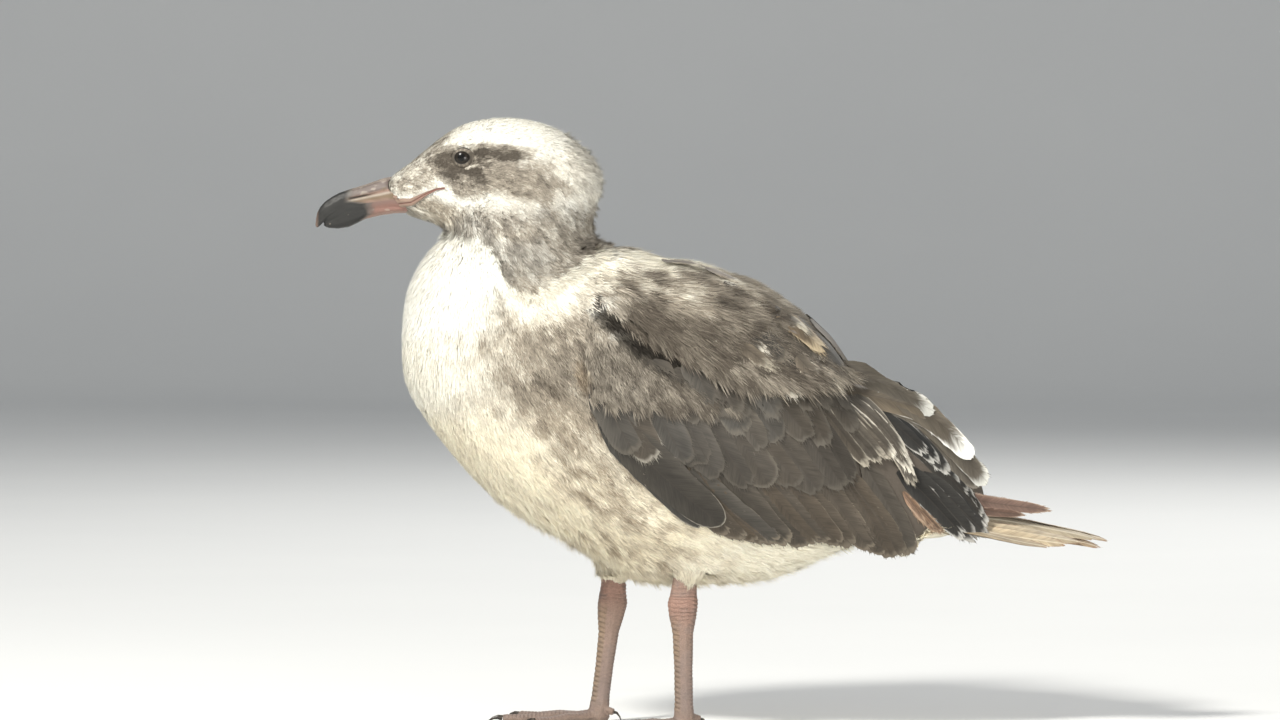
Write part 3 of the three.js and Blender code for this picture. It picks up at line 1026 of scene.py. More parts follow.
PATCHES = tuple(
    Blotch(node, *numbers)
    for node, rows in (
        (
            "breast",
            (
                (0.74, 0.60, 38, 40, 55, 0.63, 0.32, 0.45),
                (0.92, 0.46, 26, 22, 60, 0.76, 0.28, 0.4),
                (0.36, 0.55, 24, 32, 70, 0.44, 0.24, 0.45),
                (0.10, 0.80, 40, 44, 90, 0.0, 0.03, 0.1),
                (0.02, 0.50, 22, 46, 84, 0.02, 0.06, 0.35),
                (0.96, 0.80, 34, 11, -28, 0.02, 0.12, 0.45),
                (0.60, 0.05, 60, 20, 48, 0.04, 0.16, 0.9),
            ),
        ),
        (
            "belly",
            (
                (0.20, 0.40, 42, 20, 50, 0.46, 0.30, 0.65),
                (0.32, 0.22, 46, 16, 36, 0.30, 0.32, 0.85),
                (0.50, 0.10, 60, 14, 10, 0.24, 0.32, 1.0),
            ),
        ),
        (
            "scapulars_left",
            (
                (0.55, 0.50, 84, 38, 24, 0.90, 0.22, 0.4),
                (0.24, 0.94, 54, 22, 16, 0.38, 0.42, 0.5),
                (0.68, 0.88, 40, 15, 32, 0.42, 0.34, 0.5),
                (0.04, 0.98, 22, 9, 20, 0.34, 0.30, 0.5),
            ),
        ),
        (
            "coverts_left",
            (
                (0.32, 0.55, 56, 34, 16, 0.94, 0.22, 0.35),
                (0.13, 0.70, 20, 20, 62, 0.80, 0.28, 0.3),
                # painted shadow: a thin dark band just under the scapulars' lower edge
                (0.34, 0.72, 34, 4.5, 34, 0.56, 0.30, 0.3),
                (-0.01, 0.66, 10, 4, 72, 0.84, 0.30, 0.95),
            ),
        ),
        (
            "scapulars_left",
            (
                (0.20, 0.50, 24, 15, 55, 1.05, 0.16, 0.4),
                (0.37, 0.30, 26, 12, 40, 0.95, 0.16, 0.4),
                (0.06, 1.05, 15, 6, 26, 0.62, 0.44, 0.4),
                (0.127, 0.955, 10, 5, 24, 0.76, 0.40, 0.4),
                (0.225, 0.865, 9, 4.5, 22, 0.72, 0.40, 0.4),
                (0.36, 0.88, 13, 5, 14, 0.84, 0.34, 0.4),
                (0.49, 0.71, 13, 7, 28, 0.84, 0.30, 0.4),
            ),
        ),
        ("rump", ((0.15, 0.10, 70, 18, 0, -0.06, 0.10, 0.65),)),
        (
            "neck",
            (
                (0.42, 0.78, 13, 7, 10, 0.40, 0.30, 0.35),
                (0.80, 0.48, 17, 12, 60, 0.46, 0.40, 0.25),
            ),
        ),
        (
            "head",
            (
                (0.60, 1.00, 60, 17, 0, 0.0, 0.05, 0.2),
                (0.90, 0.56, 20, 26, 70, 0.20, 0.22, 0.25),
                (0.19, 0.68, 22, 12, -38, 0.42, 0.42, 0.25),
                (0.16, 0.48, 18, 7, -10, 0.46, 0.38, 0.3),
                (0.56, 0.50, 30, 12, 16, 0.70, 0.26, 0.35),
                (0.53, 0.22, 19, 9, 8, 0.02, 0.08, 0.15),
                (0.24, 0.24, 15, 7, 18, 0.52, 0.18, 0.45),
                (0.355, 0.535, 13, 7, 10, 1.5, 0.24, 0.3),
                (0.295, 0.65, 9, 7, -20, 1.0, 0.30, 0.35),
                (0.38, 0.44, 11, 7, 20, 0.74, 0.34, 0.3),
                (0.52, 0.735, 17, 2.6, 4, 0.55, 0.34, 0.3),
                (0.50, 0.685, 16, 3.4, 3, 1.22, 0.36, 0.3),
                (0.46, 0.625, 12, 3.0, 10, 0.80, 0.30, 0.3),
                (0.400, 0.588, 4.5, 1.0, -18, 0.36, 0.2, 0.3),
                (0.375, 0.735, 5.5, 0.9, -4, 0.22, 0.3, 0.3),
            ),
        ),
    )
    for numbers in rows
)


@dataclass
class Markings:
    """The colours of the small feathers all over the body, the same on both sides."""

    landmarks: Landmarks
    hood: HoodEdge
    hood_dark: float = 0.54
    hood_mottle: float = 0.30
    painted_rim_shadow: float = 0.10  # painted shadow: how much darker the hood is made low at its rear rim, where it overhangs the back
    band: float = 10 * MM  # how wide the white band below the hood is
    pale_cool: Colour = (0.93, 0.925, 0.865)
    pale_warm: Colour = (0.95, 0.875, 0.69)
    mid_cool: Colour = (0.38, 0.355, 0.31)
    mid_warm: Colour = (0.44, 0.365, 0.265)
    dark_cool: Colour = (0.085, 0.078, 0.067)
    dark_warm: Colour = (0.13, 0.10, 0.072)
    edge_softness: float = 0.50
    wander: float = 0.26  # how unevenly the patches end
    rag: float = 3.5 * MM  # how ragged the hood's edge is
    noise: BlotchNoise = field(default_factory=lambda: BlotchNoise(11, 64))

    def __post_init__(self) -> None:
        """Place the patches."""
        self.places = [self.landmarks.spot(p.node, p.along, p.up) for p in PATCHES]
        self.warm_low = self.landmarks.spot("breast", 0.5, 0.1)[1]
        self.warm_high = self.landmarks.spot("breast", 0.5, 0.9)[1]
        self.nape = self.landmarks.spot("head", 1.0, 0.10)[0]
        self.chin = self.landmarks.spot("head", 0.0, 0.10)[1]

    def amounts(self, points: np.ndarray) -> tuple[np.ndarray, np.ndarray, np.ndarray]:
        """Find how dark, how mottled and how warm the plumage is.

        Args:
            points: Places on the body.

        Returns:
            The darkness, the mottle and the warmth at each place.
        """
        level = points[:, [0, 2]]
        mirrored = points * [1, 0, 1] + np.abs(points) * [0, 1, 0]
        wander = self.noise.layered(mirrored, 7 * MM)
        dark = np.full(len(points), 0.05)
        mottle = np.full(len(points), 0.14)
        warmth = smooth_step(points[:, 2], self.warm_high, self.warm_low)
        above = self.hood.above(points)
        above = above + self.rag * self.noise.at(points * [1, 1, 0.35], 2.2 * MM)
        hooded = smooth_step(above, -0.5 * MM, 2.0 * MM) * smooth_step(
            points[:, 2], self.chin + 18 * MM, self.chin + 3 * MM
        )
        banded = smooth_step(above, -1.5 * self.band, -0.8 * self.band)
        banded = banded * smooth_step(above, 2 * MM, -0.5 * MM)
        for patch, place in zip(PATCHES, self.places):
            slope = math.radians(patch.slope)
            cosine, sine = math.cos(slope), math.sin(slope)
            local = (level - place) @ np.array([[cosine, -sine], [sine, cosine]]).T
            reach = np.hypot(
                local[:, 0] / (patch.length * MM), local[:, 1] / (patch.height * MM)
            )
            share = smooth_step(
                reach + self.wander * wander, 1.0 + self.edge_softness, 1.0 - self.edge_softness
            )
            dark += share * (patch.dark - dark)
            mottle += share * (patch.mottle - mottle)
            warmth += share * (patch.warmth - warmth)
        dark += banded * (0.02 - dark)
        mottle += banded * (0.10 - mottle)
        # painted shadow: the hood is darkened low at its rear rim, under its overhang
        rear = smooth_step(points[:, 0], self.nape - 30 * MM, self.nape)
        low = smooth_step(points[:, 2], self.chin + 6 * MM, self.chin - 16 * MM)
        dark += hooded * (self.hood_dark + self.painted_rim_shadow * rear * low - dark)
        mottle += hooded * (self.hood_mottle - mottle)
        return dark, mottle, warmth

    def ramp(self, dark: np.ndarray, warmth: np.ndarray) -> np.ndarray:
        """Turn darkness and warmth into colours.

        Args:
            dark: Darkness from 0 to 1.
            warmth: Warmth from 0 to 1.

        Returns:
            A colour for each place.
        """
        shade = np.clip(dark, 0.0, 1.0)[:, None]
        warm = np.clip(warmth, 0.0, 1.0)[:, None]
        pale = np.array(self.pale_cool) * (1 - warm) + np.array(self.pale_warm) * warm
        mid = np.array(self.mid_cool) * (1 - warm) + np.array(self.mid_warm) * warm
        deep = np.array(self.dark_cool) * (1 - warm) + np.array(self.dark_warm) * warm
        light = pale + (mid - pale) * np.minimum(shade * 2, 1)
        return light + (deep - light) * np.maximum(shade * 2 - 1, 0)

    def colours(
        self, points: np.ndarray, lie: np.ndarray, grain: float, loose: np.ndarray
    ) -> np.ndarray:
        """Colour places on the body in fine streaks that follow the lie.

        Args:
            points: The places.
            lie: The lie of the plumage there.
            grain: How wide one streak is.
            loose: A random number from -1 to 1 for each place, for stray feathers.

        Returns:
            A colour for each place.
        """
        dark, mottle, warmth = self.amounts(points)
        steps = (-4.5, -2.7, -0.9, 0.9, 2.7, 4.5)
        streaks = sum(self.noise.at(points - lie * step * grain, grain) for step in steps) / 2.5
        patches = self.noise.at(points, 3.4 * grain)
        broad = self.noise.at(points, 5.5 * MM)
        dark = dark + mottle * (0.95 * streaks + 0.45 * patches + 0.50 * broad + 0.32 * loose)
        return self.ramp(dark, warmth)


# -------------------- the coat of small feathers


@dataclass(frozen=True)
class Plumage:
    """One kind of small feather, as it grows on one region."""

    region: str
    spacing: float  # mm
    length: float  # mm
    width: float  # mm
    fan: float  # radians to each side
    blades: int
    lift: float  # mm
    rough: float
    streak: float  # mm, how wide one streak of colour is
    ruffle: float = 0.0  # mm, how far stray tips stand out
    bulge: float = 0.0  # mm, how far the middles stand out


FACE = Plumage("face", 0.85, 3.4, 0.60, 0.30, 4, 0.10, 0.16, 0.75)
HEAD = Plumage("head", 1.15, 6.5, 0.75, 0.26, 5, 0.30, 0.20, 1.0, 0.5)
NECK = Plumage("neck", 1.40, 11.5, 0.80, 0.24, 6, 0.45, 0.26, 1.2, 0.9)
BREAST = Plumage("breast", 1.75, 13.0, 0.95, 0.24, 6, 0.35, 0.22, 1.5, 0.6)
BELLY = Plumage("belly", 1.80, 14.0, 0.95, 0.24, 6, 0.45, 0.26, 1.6, 0.8)
THIGH = Plumage("thigh", 1.10, 9.5, 0.70, 0.24, 5, 0.50, 0.36, 1.2, 1.4)
MANTLE = Plumage("mantle", 1.95, 18.5, 0.90, 0.24, 6, 1.0, 0.26, 1.5, 1.6, 2.7)
LESSER = Plumage("lesser", 1.9, 14.0, 0.85, 0.24, 6, 0.8, 0.26, 1.3, 1.2, 2.4)
KINDS = (FACE, HEAD, NECK, BREAST, BELLY, THIGH, MANTLE, LESSER)
BLADE_POINTS = 5  # two at the root, two at the middle and the tip


@dataclass
class Tufts:
    """The stance of many tufts. The lists hold three levels: the root, the middle and the tip."""

    face: np.ndarray  # the skin's face under each root
    weight: np.ndarray  # the root's weights on the face's corners
    places: list[np.ndarray]
    normals: list[np.ndarray]
    lies: list[np.ndarray]
    length: np.ndarray
    depth: np.ndarray  # the coat's depth
    tucked: np.ndarray  # how far each one reaches under the wing, from 0 to 1

    def across(self) -> list[np.ndarray]:
        """Directions across the tufts at the three levels."""
        return [np.cross(normal, lie) for normal, lie in zip(self.normals, self.lies)]


@dataclass
class Coat:
    """Small feathers over every part of the skin that the wings leave bare."""

    form: BodyForm
    flow: FlowField
    markings: Markings
    wing_edge: WingEdge
    hood: HoodEdge
    gape: "Gape"
    seed: int = 5
    patch: float = 0.003  # the side of a tuft's patch on the map
    # painted shade: how dark the roots are made, as if shadowed deep in the coat
    painted_root_shade: float = 0.62
    root_sink: float = 0.96  # how deep in the coat the roots lie
    middle_sink: float = 0.34
    normal_scatter: float = 0.32
    belly_fluff: float = 5.0 * MM
    overhang: float = 3.4 * MM  # how far the scapulars stand out over the coverts
    groove: float = 3.4 * MM  # how far the coverts lie back below them
    hood_lift: float = 2.6 * MM
    nape_lift: float = 4.0 * MM
    raised_edge: float = 0.8 * MM  # how much higher the soft coverts end than they begin
    painted_gap_shadow: float = 0.8  # painted shadow: how much the coverts are darkened right under the scapulars' overhang
    bristle_reach: float = 4.5 * MM
    bristle_growth: float = 1.7
    bristle_share: float = 0.55  # how many feathers at the bill are bristles
    funnel: float = 13 * MM  # how far below a thigh its feathers would meet
    tuck: float = 1.8 * MM  # how much lower the feathers lie that reach under the wing

    def build(self) -> None:
        """Grow and hand over each region's feathers."""
        draws = np.random.default_rng(self.seed)
        self.low_wing = self.form.marks.spot("coverts_left", 0.0, 0.30)[1]
        finish = DownFinish("plumage_down").material()
        centres = self.form.outer[self.form.triangles].mean(axis=1)
        regions = self._regions(centres)
        facing = unit(self.form.normals[self.form.triangles].mean(axis=1))
        bare = self.wing_edge.bare(centres, facing)
        bare &= ~self.gape.covers(centres) & ~Eye.covers(centres)
        for kind, chosen in (
            (MANTLE, self.wing_edge.on_mantle(centres)),
            (LESSER, self.wing_edge.on_lesser(centres)),
        ):
            regions[chosen] = kind.region
            bare |= chosen
        for kind in KINDS:
            for side in Side:
                chosen = np.flatnonzero(
                    (regions == kind.region) & bare & (np.sign(centres[:, 1]) == side.value)
                )
                piece = self._grow(kind, f"{kind.region}_feathers_{side.label}", chosen, draws)
                deliver(piece, finish, "feather_streaked")

    def _regions(self, centres: np.ndarray) -> np.ndarray:
        """Name the region of each face of the skin."""
        marks = self.form.marks
        x, _, z = centres.T
        regions = np.full(len(centres), BREAST.region, dtype="<U8")
        front, middle = marks.spot("breast", 0.72, 0.5)
        regions[x > front + 0.5 * (z - middle)] = BELLY.region
        regions[self.hood.above(centres) > 0] = NECK.region
        chin = marks.spot("head", 0.5, 0.10)[1] - 0.25 * (x - marks.spot("head", 0.5, 0.5)[0])
        regions[z > chin] = HEAD.region
        face = marks.spot("head", 0.46, 0.5)[0]
        jitter = 5 * MM * self.markings.noise.at(centres, 2.5 * MM)
        regions[(z > chin) & (x + jitter < face)] = FACE.region
        for side in Side:
            low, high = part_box(f"thigh_{side.label}")
            near = (z < low.z + 6 * MM) & (x > low.x - 1 * MM) & (x < high.x + 1 * MM)
            near &= (centres[:, 1] > low.y - 1 * MM) & (centres[:, 1] < high.y + 1 * MM)
            regions[near] = THIGH.region
        return regions

    def _roots(
        self, faces: np.ndarray, spacing: float, draws: np.random.Generator
    ) -> tuple[np.ndarray, np.ndarray]:
        """Spread roots evenly over some faces of the skin.

        Args:
            faces: The faces.
            spacing: How far apart the roots are.
            draws: The source of chance.

        Returns:
            The face of each root, and its weights on the face's corners.
        """
        corners = self.form.outer[self.form.triangles[faces]]
        across = np.cross(corners[:, 1] - corners[:, 0], corners[:, 2] - corners[:, 0])
        area = np.linalg.norm(across, axis=1) / 2
        cells = ((corners.mean(axis=1) + 1.0) / (2.5 * MM)).astype(np.int64)
        code = np.zeros(len(faces), np.int64)
        for bit in range(10):
            for axis in range(3):
                code |= ((cells[:, axis] >> bit) & 1) << (3 * bit + axis)
        order = np.argsort(code, kind="stable")
        reach = np.cumsum(area[order]) / spacing**2
        count = int(reach[-1])
        marks = np.arange(count) + draws.uniform(0, 1, count)
        found = order[np.searchsorted(reach, np.minimum(marks, reach[-1] * 0.999999))]
        a, b = draws.uniform(0, 1, (2, count))
        fold = a + b > 1
        a[fold], b[fold] = 1 - a[fold], 1 - b[fold]
        return faces[found], np.stack([1 - a - b, a, b], axis=1)

    def _grow(
        self, kind: Plumage, name: str, faces: np.ndarray, draws: np.random.Generator
    ) -> bpy.types.Object:
        """Grow one region's feathers as one joined mesh.

        Args:
            kind: The kind of feather.
            name: The piece's name.
            faces: The skin's faces that carry them.
            draws: The source of chance.

        Returns:
            The piece.
        """
        tufts = self._stand(kind, *self._roots(faces, kind.spacing * MM, draws), draws)
        bulge, lift = self._fullness(kind, tufts, draws)
        self._free(kind, tufts, draws)
        points = self._blades(kind, tufts, bulge, lift, draws)
        starts = (np.arange(points.size // 3 // BLADE_POINTS) * BLADE_POINTS)[:, None]
        piece = make_mesh(
            name,
            points.reshape(-1, 3),
            starts + np.array([[0, 2, 3, 1]]),
            starts + np.array([[2, 4, 3]]),
        )
        self._dress(piece, kind, tufts, points, draws)
        return piece

    def _stand(
        self, kind: Plumage, face: np.ndarray, weight: np.ndarray, draws: np.random.Generator
    ) -> Tufts:
        """Stand the tufts on the form and follow it from each root to its tip.

        Args:
            kind: The kind of feather.
            face: The skin's face under each root.
            weight: The root's weights on the face's corners.
            draws: The source of chance.

        Returns:
            The tufts.
        """
        corners = self.form.triangles[face]
        mixed = weight[:, :, None]
        root = (self.form.outer[corners] * mixed).sum(axis=1)
        normal = unit((self.form.normals[corners] * mixed).sum(axis=1))
        depth = (self.form.depth[corners] * weight).sum(axis=1)
        lie = self.flow.at(root, normal)
        turn = draws.normal(0, kind.rough * 0.6, len(face))[:, None]
        lie = unit(lie + np.cross(normal, lie) * turn)
        if kind is THIGH:
            lie = self._to_leg(root)
        length = kind.length * MM * draws.uniform(0.75, 1.2, len(face))
        tucked = smooth_step(self.wing_edge.inside(root), -10 * MM, 1 * MM)
        tucked = tucked * smooth_step(root[:, 2], self.low_wing + 12 * MM, self.low_wing)
        places, normals, lies = [root], [normal], [lie]
        for _ in range(2):
            step = lies[-1] * (0.5 * length)[:, None]
            place, normal = self.form.lay.nearest(places[-1] + step)
            places.append(place)
            normals.append(normal)
            lies.append(lay_on(lies[-1], normal))
        depth = depth + self.tuck * tucked
        return Tufts(face, weight, places, normals, lies, length, depth, tucked)

    def _fullness(
        self, kind: Plumage, tufts: Tufts, draws: np.random.Generator
    ) -> tuple[np.ndarray, np.ndarray]:
        """Work out how far the tufts stand out from the form.

        Args:
            kind: The kind of feather.
            tufts: Their stance.
            draws: The source of chance.

        Returns:
            How far each middle and each tip stands out.
        """
        root, normal, count = tufts.places[0], tufts.normals[0], len(tufts.length)
        bulge = np.full(count, kind.bulge * MM)
        if kind is MANTLE:
            bulge *= smooth_step(self.wing_edge.inside(root), 4 * MM, 22 * MM)
            above = self.wing_edge.above_coverts(root)
            bulge += self.overhang * smooth_step(above, 18 * MM, 3 * MM)
        if kind is LESSER:
            above = self.wing_edge.above_coverts(root)
            bulge -= self.groove * smooth_step(above, -18 * MM, -3 * MM)
            bulge += self.raised_edge * smooth_step(self.wing_edge.above_vanes(root), 8 * MM, 0)
        lift = bulge + kind.lift * MM * draws.uniform(-0.6, 1.4, count)
        lift = lift + kind.ruffle * MM * draws.uniform(0, 1, count) ** 6
        under = (kind is BELLY) * smooth_step(-normal[:, 2], 0.5, 0.95) * (1 - tufts.tucked)
        lift = lift + under * draws.uniform(0, 1, count) ** 4 * self.belly_fluff
        if kind is NECK:
            fall = smooth_step(self.hood.above(root), 12 * MM, 3 * MM)
            lift = lift + self.hood_lift * fall * draws.uniform(0.3, 1, count)
        if kind is HEAD:
            nape = smooth_step(normal[:, 0], 0.0, 0.6)
            clumps = smooth_step(self.markings.noise.at(root, 2.2 * MM), 0.05, 0.5)
            lift = lift + self.nape_lift * nape * clumps * draws.uniform(0.3, 1, count)
        return bulge, lift - self.tuck * tufts.tucked

    def _free(self, kind: Plumage, tufts: Tufts, draws: np.random.Generator) -> None:
        """Stand the bristles at the bill, and the feathers round the legs, free of the form.

        Args:
            kind: The kind of feather.
            tufts: Their stance, which is changed.
            draws: The source of chance.
        """
        if kind not in (FACE, THIGH):
            return
        root, normal, lie = tufts.places[0], tufts.normals[0], tufts.lies[0]
        free = np.ones(len(root), bool)
        if kind is FACE:
            rim = self.form.marks.spot("head", 0.0, 0)[0] + self.bristle_reach
            free = (root[:, 0] < rim) & (draws.uniform(0, 1, len(root)) < self.bristle_share)
            tufts.length[free] *= self.bristle_growth
            lie[free] = lay_on(np.array([-1.0, 0.0, 0.10]) + 0 * root, normal)[free]
        reach = lie * tufts.length[:, None]
        for level, share in ((1, 0.5), (2, 1.0)):
            tufts.places[level][free] = (root + share * reach)[free]
            tufts.normals[level][free] = normal[free]
            tufts.lies[level][free] = lie[free]

    def _blades(
        self,
        kind: Plumage,
        tufts: Tufts,
        bulge: np.ndarray,
        lift: np.ndarray,
        draws: np.random.Generator,
    ) -> np.ndarray:
        """Spread each tuft into its blades.

        Args:
            kind: The kind of feather.
            tufts: Their stance.
            bulge: How far each middle stands out.
            lift: How far each tip stands out.
            draws: The source of chance.

        Returns:
            The blades' points: tufts x blades x BLADE_POINTS x 3.
        """
        count, blades = len(tufts.length), kind.blades
        spine = (
            tufts.places[0] - tufts.normals[0] * (tufts.depth * self.root_sink)[:, None],
            tufts.places[1]
            + tufts.normals[1] * (bulge - tufts.depth * self.middle_sink)[:, None],
            tufts.places[2] + tufts.normals[2] * lift[:, None],
        )
        root, middle, tip = (row[:, None] for row in spine)
        across = [row[:, None] for row in tufts.across()]
        spread = np.linspace(-1, 1, blades)[None] + draws.normal(0, 0.16, (count, blades))
        angle = spread * kind.fan
        reach = draws.uniform(0.72, 1.06, (count, blades)) - 0.10 * spread**2
        rise = draws.normal(0, 0.16 * MM, (count, blades))
        half = 0.5 * (kind.width * MM) * draws.uniform(0.75, 1.25, (count, blades))
        long = tufts.length[:, None]
        root = root + across[0] * (angle * 0.06 * long)[..., None]
        middle = (
            middle
            + across[1] * (np.sin(angle) * 0.46 * long)[..., None]
            + tufts.lies[1][:, None] * ((reach - 1) * 0.35 * long)[..., None]
            + tufts.normals[1][:, None] * (0.5 * rise)[..., None]
        )
        tip = (
            tip
            + across[2] * (np.sin(angle) * 0.80 * reach * long)[..., None]
            + tufts.lies[2][:, None] * ((reach * np.cos(angle) - 1) * long)[..., None]
            + tufts.normals[2][:, None] * rise[..., None]
        )
        narrow, wide = across[0] * (0.5 * half)[..., None], across[1] * half[..., None]
        columns = (root - narrow, root + narrow, middle - wide, middle + wide, tip)
        return np.stack(columns, axis=2)

    def _to_leg(self, points: np.ndarray) -> np.ndarray:
        """The lie of the feathers that close round the top of the nearer leg."""
        lie = np.zeros_like(points)
        for side in Side:
            near = np.sign(points[:, 1]) == side.value
            axis = middle_of(f"thigh_{side.label}")
            lie[near] = (axis - points[near]) * [1, 1, 0] - [0, 0, self.funnel]
        return unit(lie)

    def _dress(
        self,
        piece: bpy.types.Object,
        kind: Plumage,
        tufts: Tufts,
        points: np.ndarray,
        draws: np.random.Generator,
    ) -> None:
        """Colour a region's feathers, shade them softly and map them.

        Args:
            piece: The joined feathers.
            kind: The kind of feather.
            tufts: Their stance.
            points: The blades' points.
            draws: The source of chance.
        """
        count, blades = len(tufts.length), kind.blades
        blade = (tufts.places[1][:, None] + (points[:, :, 2] + points[:, :, 3]) / 2) / 2
        lie = np.repeat(tufts.lies[1][:, None], blades, axis=1)
        loose = 0.6 * draws.uniform(-1, 1, (count, 1)) + draws.uniform(-1, 1, (count, blades))
        tone = self.markings.colours(
            blade.reshape(-1, 3), lie.reshape(-1, 3), kind.streak * MM, loose.ravel()
        ).reshape(count, blades, 1, 3)
        tone = tone * draws.normal(1.0, 0.03, count)[:, None, None, None]
        # painted shadow: the coverts just under the scapulars' overhang are darkened
        if kind is LESSER:
            above = self.wing_edge.above_coverts(blade.reshape(-1, 3)).reshape(count, blades)
            hidden = smooth_step(above, -21 * MM, -13 * MM)[..., None, None]
            tone = tone * (1 - self.painted_gap_shadow * hidden)
        # painted light and shade along each blade: dark at the root as if shadowed in the coat,
        # lighter at the tip as if lit; strand varies each blade's tone at random
        strand = draws.normal(1.0, 0.06, (count, blades))
        shade = np.empty((count, blades, BLADE_POINTS))
        shade[:, :, :2] = self.painted_root_shade
        shade[:, :, 2:4] = (0.90 * strand)[..., None]
        shade[:, :, 4] = 1.06 * strand
        set_colours(piece, "Plume", (tone * shade[..., None]).reshape(-1, 3))
        lean = draws.normal(0, self.normal_scatter, (count, blades))[..., None]
        shown = np.empty((count, blades, BLADE_POINTS, 3))
        levels = zip(tufts.normals, tufts.across(), ((0, 1), (2, 3), (4,)))
        for normal, across, columns in levels:
            facing = unit(normal[:, None] + across[:, None] * lean)
            for column in columns:
                shown[:, :, column] = facing
        set_normals(piece, shown.reshape(-1, 3))
        spot = (self.form.root_map[tufts.face] * tufts.weight[:, :, None]).sum(axis=1)
        places = np.empty((count, blades, BLADE_POINTS, 2))
        share = (np.arange(blades) + 0.5) / blades - 0.5
        ends = np.array([[-0.1, -0.5], [0.1, -0.5], [-0.1, 0.0], [0.1, 0.0], [0.0, 0.5]])
        places[:] = spot[:, None, None] + self.patch * ends
        places[..., 0] += (self.patch * 0.8 * share)[None, :, None]
        set_map(piece, "OFBake", places.reshape(-1, 2))


# -------------------- large feathers


@dataclass(frozen=True)
class VaneFinish:
    """Large feathers: fine barbs that slant from the shaft, a worn pale trim and a soft gloss."""

    name: str
    shaft: Colour = (0.05, 0.04, 0.032)
    shaft_share: float = 0.38
    shaft_half: float = 0.30
    gloss: float = 0.24
    barb_slant: float = 1.15
    relief: float = 0.22 * MM

    def material(self) -> bpy.types.Material:
        """Make the material. The barb map counts millimetres from the shaft and from the root."""
        bench = NodeBench(self.name)
        split = bench.add("SeparateXYZ")
        bench.join(bench.add("UVMap", uv_map="Barbs").outputs[0], split.inputs[0])
        across = bench.maths("ABSOLUTE", split.outputs["X"])
        slide = bench.maths("MULTIPLY", across, self.barb_slant)
        barb = bench.maths("SUBTRACT", split.outputs["Y"], slide)
        where = bench.add("CombineXYZ")
        bench.join(barb, where.inputs["X"])
        bench.join(split.outputs["X"], where.inputs["Y"])
        bench.join(bench.attribute("Grain", "Fac"), where.inputs["Z"])
        fine = bench.noise(where.outputs[0], 1.0, 3.0, (1.3, 0.12, 1.0))
        broad = bench.noise(where.outputs[0], 1.0, 3.0, (0.34, 0.09, 1.0))
        cloud = bench.noise(where.outputs[0], 1.0, 2.0, (0.11, 0.14, 1.0))
        shade = bench.maths("MULTIPLY_ADD", fine, 1.0, 0.22)
        shade = bench.maths("ADD", shade, bench.maths("MULTIPLY", broad, 0.56))
        shade = bench.maths("MULTIPLY", shade, bench.maths("MULTIPLY_ADD", cloud, 0.80, 0.62))
        tone = bench.blend(1.0, bench.attribute("Tone"), shade, "MULTIPLY")
        ragged = bench.maths("MULTIPLY_ADD", broad, 1.5, -0.75)
        ragged = bench.maths("MULTIPLY_ADD", fine, 0.5, bench.maths("SUBTRACT", ragged, 0.25))
        rim = bench.maths("ADD", bench.attribute("Rim", "Fac"), ragged)
        trim = bench.maths("SUBTRACT", 1.0, bench.ease(rim, 0.15, 1.6))
        edge = bench.attribute("Trim")
        edge = bench.blend(1.0, edge, bench.maths("MULTIPLY_ADD", fine, 0.5, 0.72), "MULTIPLY")
        colour = bench.blend(trim, tone, edge)
        line = bench.ease(across, self.shaft_half * 0.5, self.shaft_half * 1.4)
        line = bench.maths("SUBTRACT", 1.0, line)
        line = bench.maths("MULTIPLY", line, self.shaft_share)
        bench.colour(bench.blend(line, colour, self.shaft))
        bench.roughness(broad, 0.48, 0.72)
        bench.set(Specular_IOR_Level=self.gloss, Sheen_Weight=0.08, Sheen_Roughness=0.5)
        height = bench.maths("MULTIPLY", fine, 0.6)
        height = bench.maths("ADD", height, bench.maths("MULTIPLY", broad, 0.6))
        bench.bump(height, self.relief, 0.55)
        return bench.result


class Face(Enum):
    """The face of the bird that a row of feathers lies on.

    The value is the sign of Z that the face looks to, or 0 for the flank.
    """

    SIDE = 0
    TOP = 1
    UNDER = -1


@dataclass(frozen=True)
class Dye:
    """The colours of one kind of large feather."""

    tone: Colour
    trim: Colour
    trim_width: float = 1.4  # mm
    tip_trim: float = 2.0  # mm
    spread: float = 0.10
    edged_from: float = 0.62  # share of the length where the side trim begins
    bright_tips: float = 0.0  # share of feathers whose tips are bright
    bright: Colour = (0.66, 0.62, 0.53)


@dataclass(frozen=True)
class Cut:
    """The shape of one kind of large feather."""

    round_tip: float = 0.55  # the tip's depth as a share of the width
    fray: float = 0.05
    droop: float = 0.5  # mm
    roll: float = 0.03
    tilt: float = 0.03
    curve: float = 0.0  # radians of sideways bend from root to tip
    barbs: int = 18
    barb_length: float = 2.2  # mm
    thickness: float = 0.32  # mm
    camber: float = 0.30  # how rounded it is shaded across
    side_barbs: float = 0.3  # share of the loose barbs on the sides


@dataclass(frozen=True)
class Row:
    """A row of large feathers. Pairs of numbers hold for its first and its last feather."""

    name: str
    tips: tuple[tuple[float, float], ...]  # X and Z of the tips in mm; X and Y on the back
    count: int  # 0 puts one feather at each tip
    length: tuple[float, float]  # mm
    width: tuple[float, float]  # mm
    heading: tuple[float, float]  # degrees below the line to the rear; outwards on the back
    dye: Dye
    cut: Cut = Cut()
    base: float = 0.6  # mm above the surface
    face: Face = Face.SIDE
    stray: float = 3.0  # degrees
    scatter: float = 0.8  # mm


